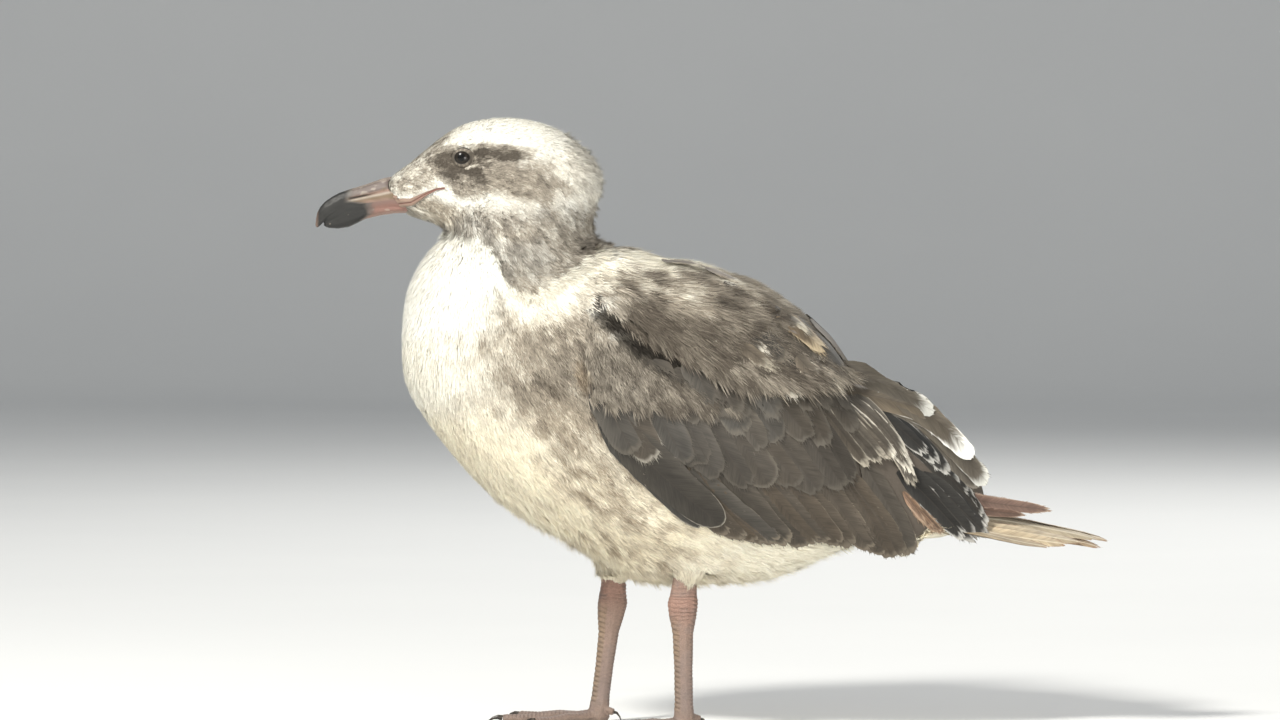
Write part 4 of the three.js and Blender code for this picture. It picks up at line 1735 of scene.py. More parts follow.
@dataclass
class Quills:
    """The stance and size of many feathers, one row each."""

    tip: np.ndarray
    normal: np.ndarray
    heading: np.ndarray
    length: np.ndarray
    width: np.ndarray
    rows: list[Row]

    def of(self, part: str, key: str) -> np.ndarray:
        """Read one value of each feather's dye or cut."""
        return np.array([getattr(getattr(row, part), key) for row in self.rows])

    @staticmethod
    def gather(parts: list["Quills"]) -> "Quills":
        """Join several sets of feathers into one."""
        stacked = (
            np.concatenate([getattr(part, key) for part in parts])
            for key in ("tip", "normal", "heading", "length", "width")
        )
        return Quills(*stacked, rows=[row for part in parts for row in part.rows])


@dataclass
class FeatherBed:
    """Large feathers laid over a surface as one joined mesh."""

    lay: Lay
    side: Side
    draws: np.random.Generator
    stations: int = 11
    columns: tuple[float, ...] = (
        -1.0, -0.95, -0.86, -0.72, -0.5, -0.26, -0.1, 0.0, 0.1, 0.26, 0.5, 0.72, 0.86, 0.95, 1.0,
    )
    shade_tip: float = 0.12
    ridge: float = 0.22 * MM  # how far the shaft stands up
    ridge_half: float = 0.12  # its half width as a share of the vane's
    lean_spread: float = 0.010
    lift_spread: float = 0.10 * MM
    least_lift: float = 0.12 * MM
    tip_taper: float = 0.10

    def quills(self, row: Row) -> Quills:
        """Stand the feathers of a row on the surface.

        Args:
            row: The row.

        Returns:
            Their stances and sizes; tips that miss the surface are left out.
        """
        count = row.count or len(row.tips)
        shares = (np.arange(count) + 0.5) / count
        if row.count:
            shares = shares + self.draws.uniform(-0.3, 0.3, count) / count
            places = along_route(np.array(row.tips) * MM, shares)
            places = places + self.draws.normal(0, row.scatter * MM, places.shape)
        else:
            places = np.array(row.tips) * MM
        sign = self.side.value
        tips, normals, kept = [], [], []
        for index, (x, other) in enumerate(places):
            if row.face is Face.SIDE:
                start, aim = np.array([x, sign * 0.3, other]), np.array([0, -sign, 0.0])
            else:
                up = row.face.value
                start, aim = np.array([x, sign * other, up * 0.5]), np.array([0, 0, -up])
            point, normal = self.lay.cast(start, aim)
            if point is not None:
                tips.append(point)
                normals.append(normal)
                kept.append(index)
        if not kept:
            raise ValueError(f"row {row.name} misses the body")
        shares = shares[kept]
        slope = np.radians(row.heading[0] + shares * (row.heading[1] - row.heading[0]))
        slope += np.radians(self.draws.normal(0, row.stray, len(kept)))
        if row.face is not Face.SIDE:
            heading = np.stack([np.cos(slope), sign * np.sin(slope), 0 * slope], axis=1)
        else:
            heading = np.stack([np.cos(slope), 0 * slope, -np.sin(slope)], axis=1)
        length = row.length[0] + shares * (row.length[1] - row.length[0])
        width = row.width[0] + shares * (row.width[1] - row.width[0])
        normals = np.array(normals)
        return Quills(
            np.array(tips),
            normals,
            lay_on(heading, normals),
            length * MM * self.draws.uniform(0.92, 1.08, len(kept)),
            width * MM * self.draws.uniform(0.90, 1.10, len(kept)),
            [row] * len(kept),
        )

    def _spines(self, quills: Quills) -> tuple[np.ndarray, np.ndarray, np.ndarray]:
        """Follow each feather's shaft over the surface from its tip back to its root.

        Args:
            quills: The feathers.

        Returns:
            Places, normals and headings from root to tip, each feathers x stations x 3.
        """
        place, normal, heading = quills.tip, quills.normal, quills.heading
        bend = quills.of("cut", "curve")[:, None] / (self.stations - 1)
        step = (quills.length / (self.stations - 1))[:, None]
        trail = [(place, normal, heading)]
        for _ in range(self.stations - 1):
            place, normal = self.lay.nearest(place - heading * step)
            turned = heading + np.cross(normal, heading) * bend * -self.side.value
            heading = lay_on(turned, normal)
            trail.append((place, normal, heading))
        return tuple(np.stack([at[k] for at in trail[::-1]], axis=1) for k in range(3))

    def build(self, name: str, quills: Quills) -> bpy.types.Object:
        """Make the feathers.

        Args:
            name: The piece's name.
            quills: The feathers.

        Returns:
            The joined feathers.
        """
        count, stations = len(quills.length), self.stations
        columns = np.array(self.columns)
        spine, normal, heading = self._spines(quills)
        up = np.cross(normal, heading) * -self.side.value
        cut = {
            key: quills.of("cut", key)[:, None, None]
            for key in ("round_tip", "fray", "droop", "roll", "tilt", "thickness", "camber")
        }
        base = np.array([row.base * MM for row in quills.rows])[:, None, None]
        length, width = quills.length[:, None, None], quills.width[:, None, None]
        share = np.linspace(0, 1, stations)[None, :, None] ** 0.92
        y = columns[None, None, :]
        fray = self.draws.uniform(0, 1, (count, 1, len(columns))) ** 3 * cut["fray"]
        arc = 1 - np.sqrt(1 - (0.985 * np.abs(y)) ** 2.4)
        rounding = cut["round_tip"] * width / length * arc
        reach = share * (1 - rounding - fray)
        half = 0.5 * width * np.minimum(1, (share + 0.04) / 0.30) ** 0.55
        half = half * (1 - self.tip_taper * share**3)
        side = y * half * self.draws.uniform(0.96, 1.04, (count, stations, 1))
        index = np.clip(reach * (stations - 1), 0, stations - 1.0001)
        low = index.astype(int)
        part = (index - low)[..., None]
        feather = np.arange(count)[:, None, None]

        def sample(track: np.ndarray) -> np.ndarray:
            """Read a track along the shaft at each point of the grid."""
            return track[feather, low] * (1 - part) + track[feather, low + 1] * part

        flat = sample(spine) + sample(up) * side[..., None]
        laid, facing = self.lay.nearest(flat.reshape(-1, 3))
        laid, facing = laid.reshape(flat.shape), facing.reshape(flat.shape)
        lean = self.draws.normal(0, self.lean_spread, (count, 1, 1))
        lift = self.draws.normal(0, self.lift_spread, (count, 1, 1))
        ridge = self.ridge * np.exp(-((y / self.ridge_half) ** 2))
        height = base + lift + cut["tilt"] * reach * length + (cut["roll"] + lean) * side
        height = height - cut["droop"] * MM * y**2 * share + ridge
        least = np.where(cut["tilt"] < 0, -1.0, self.least_lift)
        top = laid + facing * np.maximum(height, least)[..., None]
        rim = (np.abs(y) == 1) | (share == 1) | (share == 0)
        under = top - facing * (cut["thickness"] * MM * np.where(rim, 0.0, 1.0))[..., None]
        shown = self._facing(top) + sample(up) * (cut["camber"] * y * share)[..., None]
        towards_tip = (self.shade_tip * share**5 * np.ones_like(y))[..., None]
        shown = unit(shown + sample(heading) * towards_tip)
        barbs = self._barbs(quills, top, shown, sample(up), sample(heading))
        return self._assemble(name, quills, (top, under, shown), (side, reach, share), barbs)

    def _facing(self, top: np.ndarray) -> np.ndarray:
        """The normals of the feathers' upper faces, from their own shape."""
        along = np.gradient(top, axis=1)
        across = np.gradient(top, axis=2)
        return unit(np.cross(along, across) * -self.side.value)

    def _barbs(
        self,
        quills: Quills,
        top: np.ndarray,
        shown: np.ndarray,
        up: np.ndarray,
        heading: np.ndarray,
    ) -> tuple[np.ndarray, np.ndarray, np.ndarray]:
        """Loosen fine barbs from each feather's tip and edges.

        Args:
            quills: The feathers.
            top: Their upper faces.
            shown: Their normals.
            up: Directions towards the back.
            heading: Directions towards the tips.

        Returns:
            Barb triangles, their normals, and the feather that each belongs to.
        """
        feather = np.repeat(np.arange(len(quills.length)), quills.of("cut", "barbs"))
        turn = self.draws.uniform(-1, 1, len(feather))
        on_side = quills.of("cut", "side_barbs")[feather]
        at_tip = self.draws.uniform(0, 1, len(feather)) > on_side
        last = len(self.columns) - 1
        column = np.where(at_tip, (turn + 1) / 2 * last, np.where(turn > 0, last, 0))
        level = np.where(at_tip, 1.0, self.draws.uniform(0.45, 0.98, len(feather)))
        level = level * (self.stations - 1) * 0.9999
        column = np.clip(column, 0, last - 1e-4)
        i, j = level.astype(int), column.astype(int)
        a, b = (level - i)[:, None], (column - j)[:, None]

        def read(grid: np.ndarray) -> np.ndarray:
            """Read a grid at the foot of each barb."""
            first = grid[feather, i, j] * (1 - a) + grid[feather, i + 1, j] * a
            second = grid[feather, i, j + 1] * (1 - a) + grid[feather, i + 1, j + 1] * a
            return first * (1 - b) + second * b

        foot, facing, side, along = read(top), read(shown), read(up), read(heading)
        out = np.interp(column, np.arange(last + 1), self.columns)
        slant = out * np.where(at_tip, 0.45, 0.55) + self.draws.normal(0, 0.12, len(out))
        aim = unit(along + side * slant[:, None])
        reach = quills.of("cut", "barb_length")[feather] * MM
        reach = (reach * self.draws.uniform(0.35, 1.1, len(out)))[:, None]
        half = (self.draws.uniform(0.16, 0.30, len(out)) * MM)[:, None]
        across = unit(np.cross(facing, aim))
        start = foot - aim * 0.8 * MM + facing * 0.03 * MM
        rise = (self.draws.normal(0.05, 0.22, len(out)) * MM)[:, None]
        end = foot + aim * reach + facing * rise
        triangles = np.stack([start - across * half, end, start + across * half], axis=1)
        return triangles, facing, feather

    def _assemble(
        self,
        name: str,
        quills: Quills,
        faces: tuple[np.ndarray, np.ndarray, np.ndarray],
        grids: tuple[np.ndarray, np.ndarray, np.ndarray],
        barbs: tuple[np.ndarray, np.ndarray, np.ndarray],
    ) -> bpy.types.Object:
        """Join the faces and barbs of all feathers and dress them.

        Args:
            name: The piece's name.
            quills: The feathers.
            faces: Upper and lower points and the normals that shade them.
            grids: Distance from the shaft, share of the length, and share of the stations.
            barbs: Barb triangles, their normals and their feathers.

        Returns:
            The joined piece.
        """
        top, under, shown = faces
        side, reach, share = grids
        count, rows, columns = top.shape[:3]
        each = rows * columns
        i, j = np.meshgrid(np.arange(rows - 1), np.arange(columns - 1), indexing="ij")
        corner = (i * columns + j).ravel()
        ring = np.stack([corner, corner + columns, corner + columns + 1, corner + 1], axis=1)
        if self.side is Side.RIGHT:
            ring = ring[:, ::-1]
        starts = (np.arange(count) * each)[:, None, None]
        upper = (starts + ring[None]).reshape(-1, 4)
        lower = (starts + ring[None, :, ::-1]).reshape(-1, 4) + count * each
        triangles, barb_facing, feather = barbs
        loose = 2 * count * each + np.arange(len(triangles) * 3).reshape(-1, 3)
        points = np.concatenate([grid.reshape(-1, 3) for grid in (top, under, triangles)])
        piece = make_mesh(name, points, upper, lower, loose)
        flat = shown.reshape(-1, 3)
        set_normals(piece, np.concatenate([flat, -flat, np.repeat(barb_facing, 3, axis=0)]))

        length, width = quills.length[:, None, None], quills.width[:, None, None]
        tone, trim, thin, tip, edged = self._dyes(quills)
        bare = np.clip((edged - share) / 0.22 + 1, 0, 3)
        gap_side = (0.5 * width - np.abs(side)) / thin + bare * (edged > 0)
        gap_tip = (1 - share) * length * np.ones_like(side) / tip
        rim = np.minimum(gap_side, gap_tip)
        spread = np.clip(np.abs(side) / (0.5 * width), 0, 1)
        # painted light and shade: each feather is darker towards its root, where the row above
        # overlaps it, and lighter towards its edges and tip as a painted sheen
        painted_sheen_and_shade = (0.72 + 0.50 * spread**2 + 0.14 * share)[..., None]
        colours = (tone[:, None, None] * painted_sheen_and_shade).reshape(-1, 3)
        on_barbs = np.repeat((tone * 1.15)[feather], 3, axis=0)
        set_colours(piece, "Tone", np.concatenate([colours, colours, on_barbs]))
        trims, on_barbs = np.repeat(trim, each, axis=0), np.repeat(trim[feather], 3, axis=0)
        set_colours(piece, "Trim", np.concatenate([trims, trims, on_barbs]))
        ends = np.repeat(self.draws.uniform(0, 1.6, len(feather)), 3)
        set_amounts(piece, "Rim", np.concatenate([rim.ravel(), rim.ravel(), ends]))
        grain = np.arange(count) * 7.31 + 0.5
        on_faces, on_barbs = np.tile(np.repeat(grain, each), 2), np.repeat(grain[feather], 3)
        set_amounts(piece, "Grain", np.concatenate([on_faces, on_barbs]))
        on_faces = (np.stack([side, reach * length + 0 * side], axis=-1) / MM).reshape(-1, 2)
        feet = [self.draws.uniform(2, 8, len(feather)), np.ones(len(feather))]
        on_barbs = np.repeat(np.stack(feet, axis=1), 3, axis=0)
        set_map(piece, "Barbs", np.concatenate([on_faces, on_faces, on_barbs]))
        self._lay_out(piece, (side / (0.5 * width), share + 0 * side), feather)
        return piece

    def _dyes(self, quills: Quills) -> tuple[np.ndarray, ...]:
        """Draw each feather's tone, trim colour and trim widths."""
        tone, trim, spread, thin, tip, bright_share, glow, edged = (
            quills.of("dye", key)
            for key in (
                "tone", "trim", "spread", "trim_width", "tip_trim", "bright_tips", "bright",
                "edged_from",
            )
        )
        count = len(tone)
        tone = tone * np.exp(self.draws.normal(0, 1, count) * spread)[:, None]
        warm = self.draws.normal(0, 0.03, count)[:, None] * np.array([1.0, 0.1, -1.0])
        tone = tone * (1 + warm)
        thin = thin * MM * self.draws.uniform(0.7, 1.3, count)
        tip = tip * MM * self.draws.uniform(0.6, 1.4, count)
        bright = self.draws.uniform(0, 1, count) < bright_share
        trim = np.where(bright[:, None], glow, trim)
        trim = trim * np.exp(self.draws.normal(0, 0.10, count))[:, None]
        tip = np.where(bright, tip * 1.5, tip)
        edged = np.where(bright & (edged > 0), 0.86, edged)
        return tone, trim, *(row[:, None, None] for row in (thin, tip, edged))

    def _lay_out(
        self,
        piece: bpy.types.Object,
        grids: tuple[np.ndarray, np.ndarray],
        feather: np.ndarray,
    ) -> None:
        """Map each feather to a card of its own, its underside and barbs beside it.

        Args:
            piece: The joined feathers.
            grids: Places across and along each feather.
            feather: The feather that each barb belongs to.
        """
        across, along = grids
        count = len(across)
        wide = max(1, math.ceil(math.sqrt(count * 0.9)))
        high = math.ceil(count / wide)
        card = np.arange(count)
        corner = np.stack([(card % wide) / wide, (card // wide) / high], axis=1)
        step = np.array([1 / wide, 1 / high])
        face = np.stack([(across + 1) / 2, along + 0 * across], axis=-1)
        top = corner[:, None, None] + step * (np.array([0.03, 0.04]) + face * [0.60, 0.92])
        under = corner[:, None, None] + step * (np.array([0.68, 0.04]) + face * [0.20, 0.92])
        share = np.linspace(0, 1, len(feather))
        spot = corner[feather] + step * (np.stack([0.93 + 0 * share, 0.05 + 0.85 * share], axis=1))
        shape = np.array([[-0.012, 0.0], [0.0, 0.02], [0.012, 0.0]]) * step
        loose = spot[:, None] + shape[None]
        parts = [top.reshape(-1, 2), under.reshape(-1, 2), loose.reshape(-1, 2)]
        set_map(piece, "OFBake", np.concatenate(parts))


class Sheet(Lay):
    """One face of some solids, read along an axis and carried on smoothly past their edges."""

    MARGIN = 3  # steps past the solids' edges
    FILL_ROUNDS = 400
    SOFT_ROUNDS = 6

    def __init__(
        self, nodes: list[str], axis: int, sign: int, inset: float, step: float = 4 * MM
    ) -> None:
        """Read the solids' face and smooth it.

        Args:
            nodes: The solids.
            axis: The axis that the face is read along, 1 for Y or 2 for Z.
            sign: The side of that axis to read from.
            inset: How far inside the solids' face the sheet lies.
            step: The spacing of the readings.
        """
        boxes = [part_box(node) for node in nodes]
        copy = copy_nodes("guide", nodes)
        solid = BVHTree.FromPolygons(
            mesh_points(copy).tolist(), mesh_triangles(copy)[0].tolist(), all_triangles=True
        )
        bpy.data.objects.remove(copy)
        other = 3 - axis
        low, high = (
            np.array([pick(box[end][k] for box in boxes) for k in (0, other)])
            for pick, end in ((min, 0), (max, 1))
        )
        past = self.MARGIN * step
        xs, us = (np.arange(low[k] - past, high[k] + past, step) for k in (0, 1))
        out = np.full((len(xs), len(us)), np.nan)
        aim = Vector((0, 0, 0))
        aim[axis] = -sign
        for i, j in itertools.product(range(len(xs)), range(len(us))):
            start = Vector((xs[i], 0, 0))
            start[other], start[axis] = us[j], sign * 0.5
            place = solid.ray_cast(start, aim)[0]
            if place is not None:
                out[i, j] = place[axis]
        face = self._filled(out)
        face = face + self._soft(out - face, np.isfinite(out))
        points = np.zeros((len(xs), len(us), 3))
        points[..., 0], points[..., other] = np.meshgrid(xs, us, indexing="ij")
        points[..., axis] = face
        points = points.reshape(-1, 3)
        i, j = np.meshgrid(np.arange(len(xs) - 1), np.arange(len(us) - 1), indexing="ij")
        corner, columns = (i * len(us) + j).ravel(), len(us)
        first = np.stack([corner, corner + columns, corner + 1], axis=1)
        second = np.stack([corner + columns, corner + columns + 1, corner + 1], axis=1)
        triangles = np.concatenate([first, second])
        normals = vertex_normals(points, triangles)
        normals *= np.sign(normals[:, axis : axis + 1] * sign)
        super().__init__(points - normals * inset, triangles, normals)

    @classmethod
    def _filled(cls, out: np.ndarray) -> np.ndarray:
        """Carry the readings on into the cells that met nothing, then soften them all."""
        known = np.isfinite(out)
        face = np.where(known, out, np.nanmedian(out))
        for _ in range(cls.FILL_ROUNDS):
            face = np.where(known, out, cls._mean(face))
        for _ in range(cls.SOFT_ROUNDS):
            face = 0.5 * (face + cls._mean(face))
        return face

    @classmethod
    def _soft(cls, gap: np.ndarray, known: np.ndarray) -> np.ndarray:
        """Smooth what the softening lost, to give most of it back."""
        gap = np.where(known, gap, 0.0)
        for _ in range(cls.SOFT_ROUNDS):
            gap = 0.5 * (gap + cls._mean(gap))
        return gap

    @staticmethod
    def _mean(face: np.ndarray) -> np.ndarray:
        """The mean of each cell's four neighbours."""
        wide = np.pad(face, 1, mode="edge")
        return (wide[2:, 1:-1] + wide[:-2, 1:-1] + wide[1:-1, 2:] + wide[1:-1, :-2]) / 4


# -------------------- the folded wings


SCAPULAR = Dye((0.076, 0.066, 0.054), (0.16, 0.14, 0.11), 3.0, 4.0, 0.16, bright_tips=0.08)
MANTLE_VANE = Dye((0.110, 0.096, 0.077), (0.28, 0.25, 0.19), 3.5, 6.0, 0.18, 0.4, 0.25)
COVERT = Dye((0.068, 0.060, 0.049), (0.100, 0.089, 0.073), 2.4, 3.0, 0.14, bright_tips=0.04)
GREATER = Dye(
    (0.058, 0.051, 0.042), (0.088, 0.078, 0.063), 1.8, 2.4, 0.12, 0.62, 0.24, (0.36, 0.335, 0.285)
)
LONG_COVERT = Dye((0.040, 0.037, 0.032), (0.26, 0.24, 0.20), 0.7, 1.0, 0.03, 0.70)
FROST = Dye((0.110, 0.094, 0.074), (0.48, 0.44, 0.35), 1.4, 5.5, 0.14, 0.7)
GOLD = Dye((0.125, 0.095, 0.062), (0.44, 0.36, 0.24), 1.6, 7.0, 0.05, 0.6)
SECONDARY = Dye((0.070, 0.058, 0.044), (0.17, 0.145, 0.11), 0.8, 3.0, 0.10, bright_tips=0.05)
INNER = Dye((0.088, 0.077, 0.062), (0.38, 0.345, 0.28), 1.1, 3.6, 0.14, 0.0, 0.3)
TERTIAL = Dye((0.092, 0.080, 0.063), (0.58, 0.58, 0.54), 1.0, 9.0, 0.08, 0.55)
WHITE_TERTIAL = replace(TERTIAL, trim=(0.93, 0.93, 0.88), trim_width=2.6, tip_trim=17)
HIDDEN = Dye((0.095, 0.083, 0.067), (0.20, 0.18, 0.15), 0.8, 3.0, 0.10, 0.5)
PRIMARY = Dye((0.026, 0.025, 0.023), (0.44, 0.43, 0.40), 0.5, 3.6, 0.14, 0.45)
RUSTY = Dye((0.23, 0.145, 0.095), (0.42, 0.31, 0.22), 0.9, 2.0, 0.16, 0.2)
OLD = Dye((0.115, 0.075, 0.060), (0.32, 0.24, 0.18), 0.7, 2.5, 0.10, 0.0)

SOFT = Cut(0.66, 0.12, roll=0.01, tilt=0.030, barbs=90, barb_length=4.6, camber=0.10)
ROUND = Cut(0.62, 0.07, roll=0.02, tilt=0.022, barbs=60, barb_length=3.4, camber=0.14)
SMOOTH = Cut(0.85, 0.015, roll=0.05, tilt=0.014, barbs=8, barb_length=1.6, curve=0.10)
TRIMMED = Cut(0.66, 0.05, roll=0.03, tilt=0.014, barbs=34, barb_length=2.2, camber=0.2)
WORN = Cut(0.70, 0.10, roll=0.04, tilt=0.014, barbs=50, barb_length=3.4, camber=0.2)
NARROW = Cut(round_tip=1.1, fray=0.08, roll=0.05, tilt=0.020, barbs=30, curve=0.10)
SHARP = Cut(3.6, 0.05, 0.3, 0.02, 0.0, 0.0, 110, 1.6, 0.4, 0.2, 0.85)
BROAD = Cut(0.52, 0.02, roll=0.0, tilt=0.022, barbs=14, barb_length=1.6, curve=0.12)

WING_ROWS = {
    "primary_feathers": (
        Row(
            "primaries",
            (
                (124, 160), (131, 155), (137, 149), (143, 143), (148, 137), (153, 130),
                (157, 124), (160, 118), (160.5, 112.5), (154, 109.5), (147, 111),
            ),
            0, (50, 62), (12, 13), (42, 42), PRIMARY, NARROW, 0.5,
        ),
        Row(
            "worn_primaries",
            ((120, 124), (128, 118), (135, 115.5)),
            5, (20, 22), (4.5, 4.5), (46, 38), RUSTY, WORN, 1.0,
        ),
    ),
    "secondary_feathers": (
        Row(
            "secondaries",
            (
                (6, 119), (16, 114.5), (30, 110), (66, 111.5), (90, 106), (104, 102),
                (113, 101), (119, 108),
            ),
            16, (66, 62), (17, 14), (47, 60), SECONDARY, TRIMMED, 1.6,
        ),
        Row(
            "long_coverts",
            ((-4.5, 121.5),),
            0, (88, 88), (19, 19), (50, 50), LONG_COVERT, SMOOTH, 1.2, stray=0.5, scatter=0.2,
        ),
        Row(
            "longest_covert",
            ((5.0, 122.9),),
            0, (78, 78), (25, 25), (50, 50), LONG_COVERT, SMOOTH, 2.2, stray=0.5, scatter=0.2,
        ),
    ),
    "covert_feathers": (
        Row(
            "greater_coverts",
            ((-50, 166), (-36, 160), (-4, 156), (7, 146), (45, 146), (67, 140), (90, 150)),
            11, (46, 50), (22, 19), (62, 50), GREATER, ROUND, 2.2,
        ),
        Row(
            "inner_coverts",
            ((88, 154), (100, 158), (110, 160), (114, 152), (116.5, 141)),
            10, (50, 56), (10, 9), (50, 60), INNER, NARROW, 2.2, stray=4.0,
        ),
        Row(
            "median_coverts",
            ((-44, 184), (-30, 186), (3, 177), (27, 166), (62, 167), (86, 172)),
            10, (31, 44), (21, 18), (66, 48), COVERT, ROUND, 2.4, stray=5.0, scatter=2.0,
        ),
        Row(
            "upper_median_coverts",
            ((-12, 192), (24, 183), (55, 184), (84, 188)),
            7, (30, 38), (18, 16), (66, 46), COVERT, SOFT, 2.5, stray=5.0, scatter=2.0,
        ),
    ),
    "scapular_feathers": (
        Row(
            "frosted_scapulars",
            ((38, 203), (33, 208), (25, 243.5), (15, 255), (-7, 264), (52, 228), (60, 199)),
            0, (24, 24), (8, 10), (46, 42), FROST, SOFT, 5.6, stray=6.0,
        ),
        Row("rear_scapulars", ((75, 209),), 0, (36, 36), (17, 17), (54, 54), SCAPULAR, SOFT, 5.2),
        Row("gold_scapulars", ((61, 217),), 0, (40, 40), (18, 18), (42, 42), GOLD, SOFT, 5.2),
        Row(
            "lowest_scapulars",
            ((4, 197), (25, 198), (48, 193), (68, 203), (80, 207)),
            8, (34, 48), (14, 24), (62, 36), SCAPULAR, SOFT, 3.8, stray=5.0, scatter=1.5,
        ),
        Row(
            "low_scapulars",
            ((-8, 224), (14, 214), (38, 213), (58, 219), (72, 218)),
            7, (30, 44), (15, 24), (58, 34), SCAPULAR, SOFT, 3.3, stray=7.0, scatter=2.5,
        ),
        Row(
            "middle_scapulars",
            ((0, 240), (26, 232), (50, 227), (66, 226)),
            6, (30, 40), (16, 22), (50, 32), SCAPULAR, SOFT, 3.0, stray=7.0, scatter=2.5,
        ),
        Row(
            "high_scapulars",
            ((6, 251), (34, 242), (54, 234)),
            5, (30, 36), (16, 20), (42, 30), MANTLE_VANE, SOFT, 3.0, stray=7.0, scatter=2.5,
        ),
    ),
    "tertial_feathers": (
        Row(
            "hidden_tertials",
            ((156, 136), (154, 152), (140, 170)),
            4, (60, 60), (20, 20), (44, 30), HIDDEN, BROAD, 0.9, stray=1.0,
        ),
        Row(
            "tertials",
            ((161, 143), (129, 184)),
            0, (58, 64), (18, 24), (46, 24), TERTIAL, BROAD, 1.9, stray=1.0,
        ),
        Row(
            "middle_tertial",
            ((152.5, 158.5),),
            0, (62, 62), (23, 23), (36, 36), WHITE_TERTIAL, BROAD, 2.5, stray=1.0,
        ),
    ),
    "back_feathers": (
        Row(
            "tertials_on_top",
            ((148, 4), (128, 9)),
            3, (60, 62), (20, 22), (2, 2), TERTIAL, BROAD, 1.0, Face.TOP,
        ),
        Row(
            "outer_back",
            ((74, 24), (54, 36), (20, 42)),
            7, (38, 32), (20, 16), (10, 14), MANTLE_VANE, SOFT, 2.8, Face.TOP, 7.0, 2.5,
        ),
        Row(
            "inner_back",
            ((80, 10), (54, 20), (20, 26)),
            7, (40, 34), (20, 16), (4, 8), MANTLE_VANE, SOFT, 2.9, Face.TOP, 7.0, 2.5,
        ),
        Row(
            "middle_back",
            ((84, 3), (54, 8), (20, 10)),
            7, (40, 34), (20, 16), (0, 2), MANTLE_VANE, SOFT, 3.0, Face.TOP, 6.0, 2.0,
        ),
    ),
}

OLD_PRIMARIES = Row(
    "old_primaries",
    ((0, 127.3), (-16, 124.5)),
    0, (66, 56), (8.5, 6), (7, 5), OLD, SHARP, 0.5, stray=0.5, scatter=0.3,
)

WING_SLOTS = {
    "primary_feathers": ("feather_black", "vane_black"),
    "secondary_feathers": ("feather_dark", "vane_dark"),
    "covert_feathers": ("feather_brown", "vane_covert"),
    "scapular_feathers": ("feather_brown", "vane_scapular"),
    "tertial_feathers": ("feather_brown", "vane_tertial"),
    "back_feathers": ("feather_brown", "vane_back"),
}


WING_NODES = ("scapulars", "coverts", "secondaries", "tertials", "primaries")
ON_SHEET = ("primary_feathers", "secondary_feathers", "covert_feathers", "tertial_feathers")


@dataclass
class Wing:
    """One folded wing, built feather by feather over the skin."""

    form: BodyForm
    side: Side
    seed: int = 40
    inset: float = 1.4 * MM

    def build(self) -> None:
        """Lay and hand over each group of feathers."""
        draws = np.random.default_rng(self.seed + self.side.value)
        body = Lay(self.form.inner, self.form.triangles, self.form.normals)
        nodes = [f"{group}_{self.side.label}" for group in WING_NODES]
        sheet = Sheet(nodes, 1, self.side.value, self.inset)
        for group, rows in WING_ROWS.items():
            slot, finish = WING_SLOTS[group]
            lay = sheet if group in ON_SHEET else body
            bed = FeatherBed(lay, self.side, draws)
            if group == "primary_feathers":
                rows = (*rows, self._old_primaries())
            quills = Quills.gather([bed.quills(row) for row in rows])
            material = bpy.data.materials.get(finish) or VaneFinish(finish).material()
            deliver(bed.build(f"{group}_{self.side.label}", quills), material, slot)

    def _old_primaries(self) -> Row:
        """The row of old primaries, which ends where this wing's solid ends."""
        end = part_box(f"primaries_{self.side.label}")[1].x / MM
        tips = tuple((end + x - 1.0, z) for x, z in OLD_PRIMARIES.tips)
        return replace(OLD_PRIMARIES, tips=tips)


# -------------------- the tail


TAN_STRAW = Dye((0.30, 0.225, 0.145), (0.25, 0.165, 0.105), 0.8, 2.0, 0.06, 0.3)
STRAW = Dye((0.38, 0.325, 0.235), (0.25, 0.165, 0.105), 0.8, 2.0, 0.10, 0.3)
UNDER_DOWN = Dye((0.74, 0.67, 0.52), (0.82, 0.77, 0.63), 2.0, 3.0, 0.06, 0.0)
QUILL = Cut(3.6, 0.04, 0.3, 0.30, -0.030, 0.0, 130, 1.9, 0.45, 0.25, 0.85)
LOW_QUILL = replace(QUILL, tilt=-0.046, roll=0.24)
SIDE_QUILL = replace(QUILL, tilt=-0.030, roll=0.16)
DOWNY = Cut(0.6, 0.10, 0.6, 0.0, 0.03, 0.0, 40, 4.0)

TAIL_ROWS = (
    Row(
        "tail_quills",
        ((231.3, 2.5), (226, 7)),
        0, (104, 100), (13, 13), (1, 3), STRAW, QUILL, 3.2, Face.TOP, 0.4, 0.2,
    ),
    Row(
        "low_tail_quill",
        ((227.5, 13),),
        0, (98, 98), (11, 11), (6, 6), TAN_STRAW, LOW_QUILL, 0.8, Face.TOP, 0.6, 0.3,
    ),
    Row(
        "outer_tail_quills",
        ((217, 18), (207, 22.5), (196, 26.5)),
        0, (94, 80), (12, 13), (7, 11), STRAW, SIDE_QUILL, 1.6, Face.TOP, 0.6, 0.3,
    ),
)
UNDERTAIL_ROWS = tuple(
    Row("under_tail", tips, 3, length, width, (0, out), UNDER_DOWN, DOWNY, base, Face.UNDER, 4)
    for tips, length, width, out, base in (
        (((190, 3), (182, 12)), (40, 36), (17, 15), 6, 0.2),
        (((174, 3), (166, 12)), (36, 32), (17, 15), 8, 0.6),
        (((158, 3), (152, 14)), (34, 30), (17, 15), 8, 1.0),
        (((142, 3), (138, 16)), (30, 28), (16, 14), 8, 1.4),
    )
)


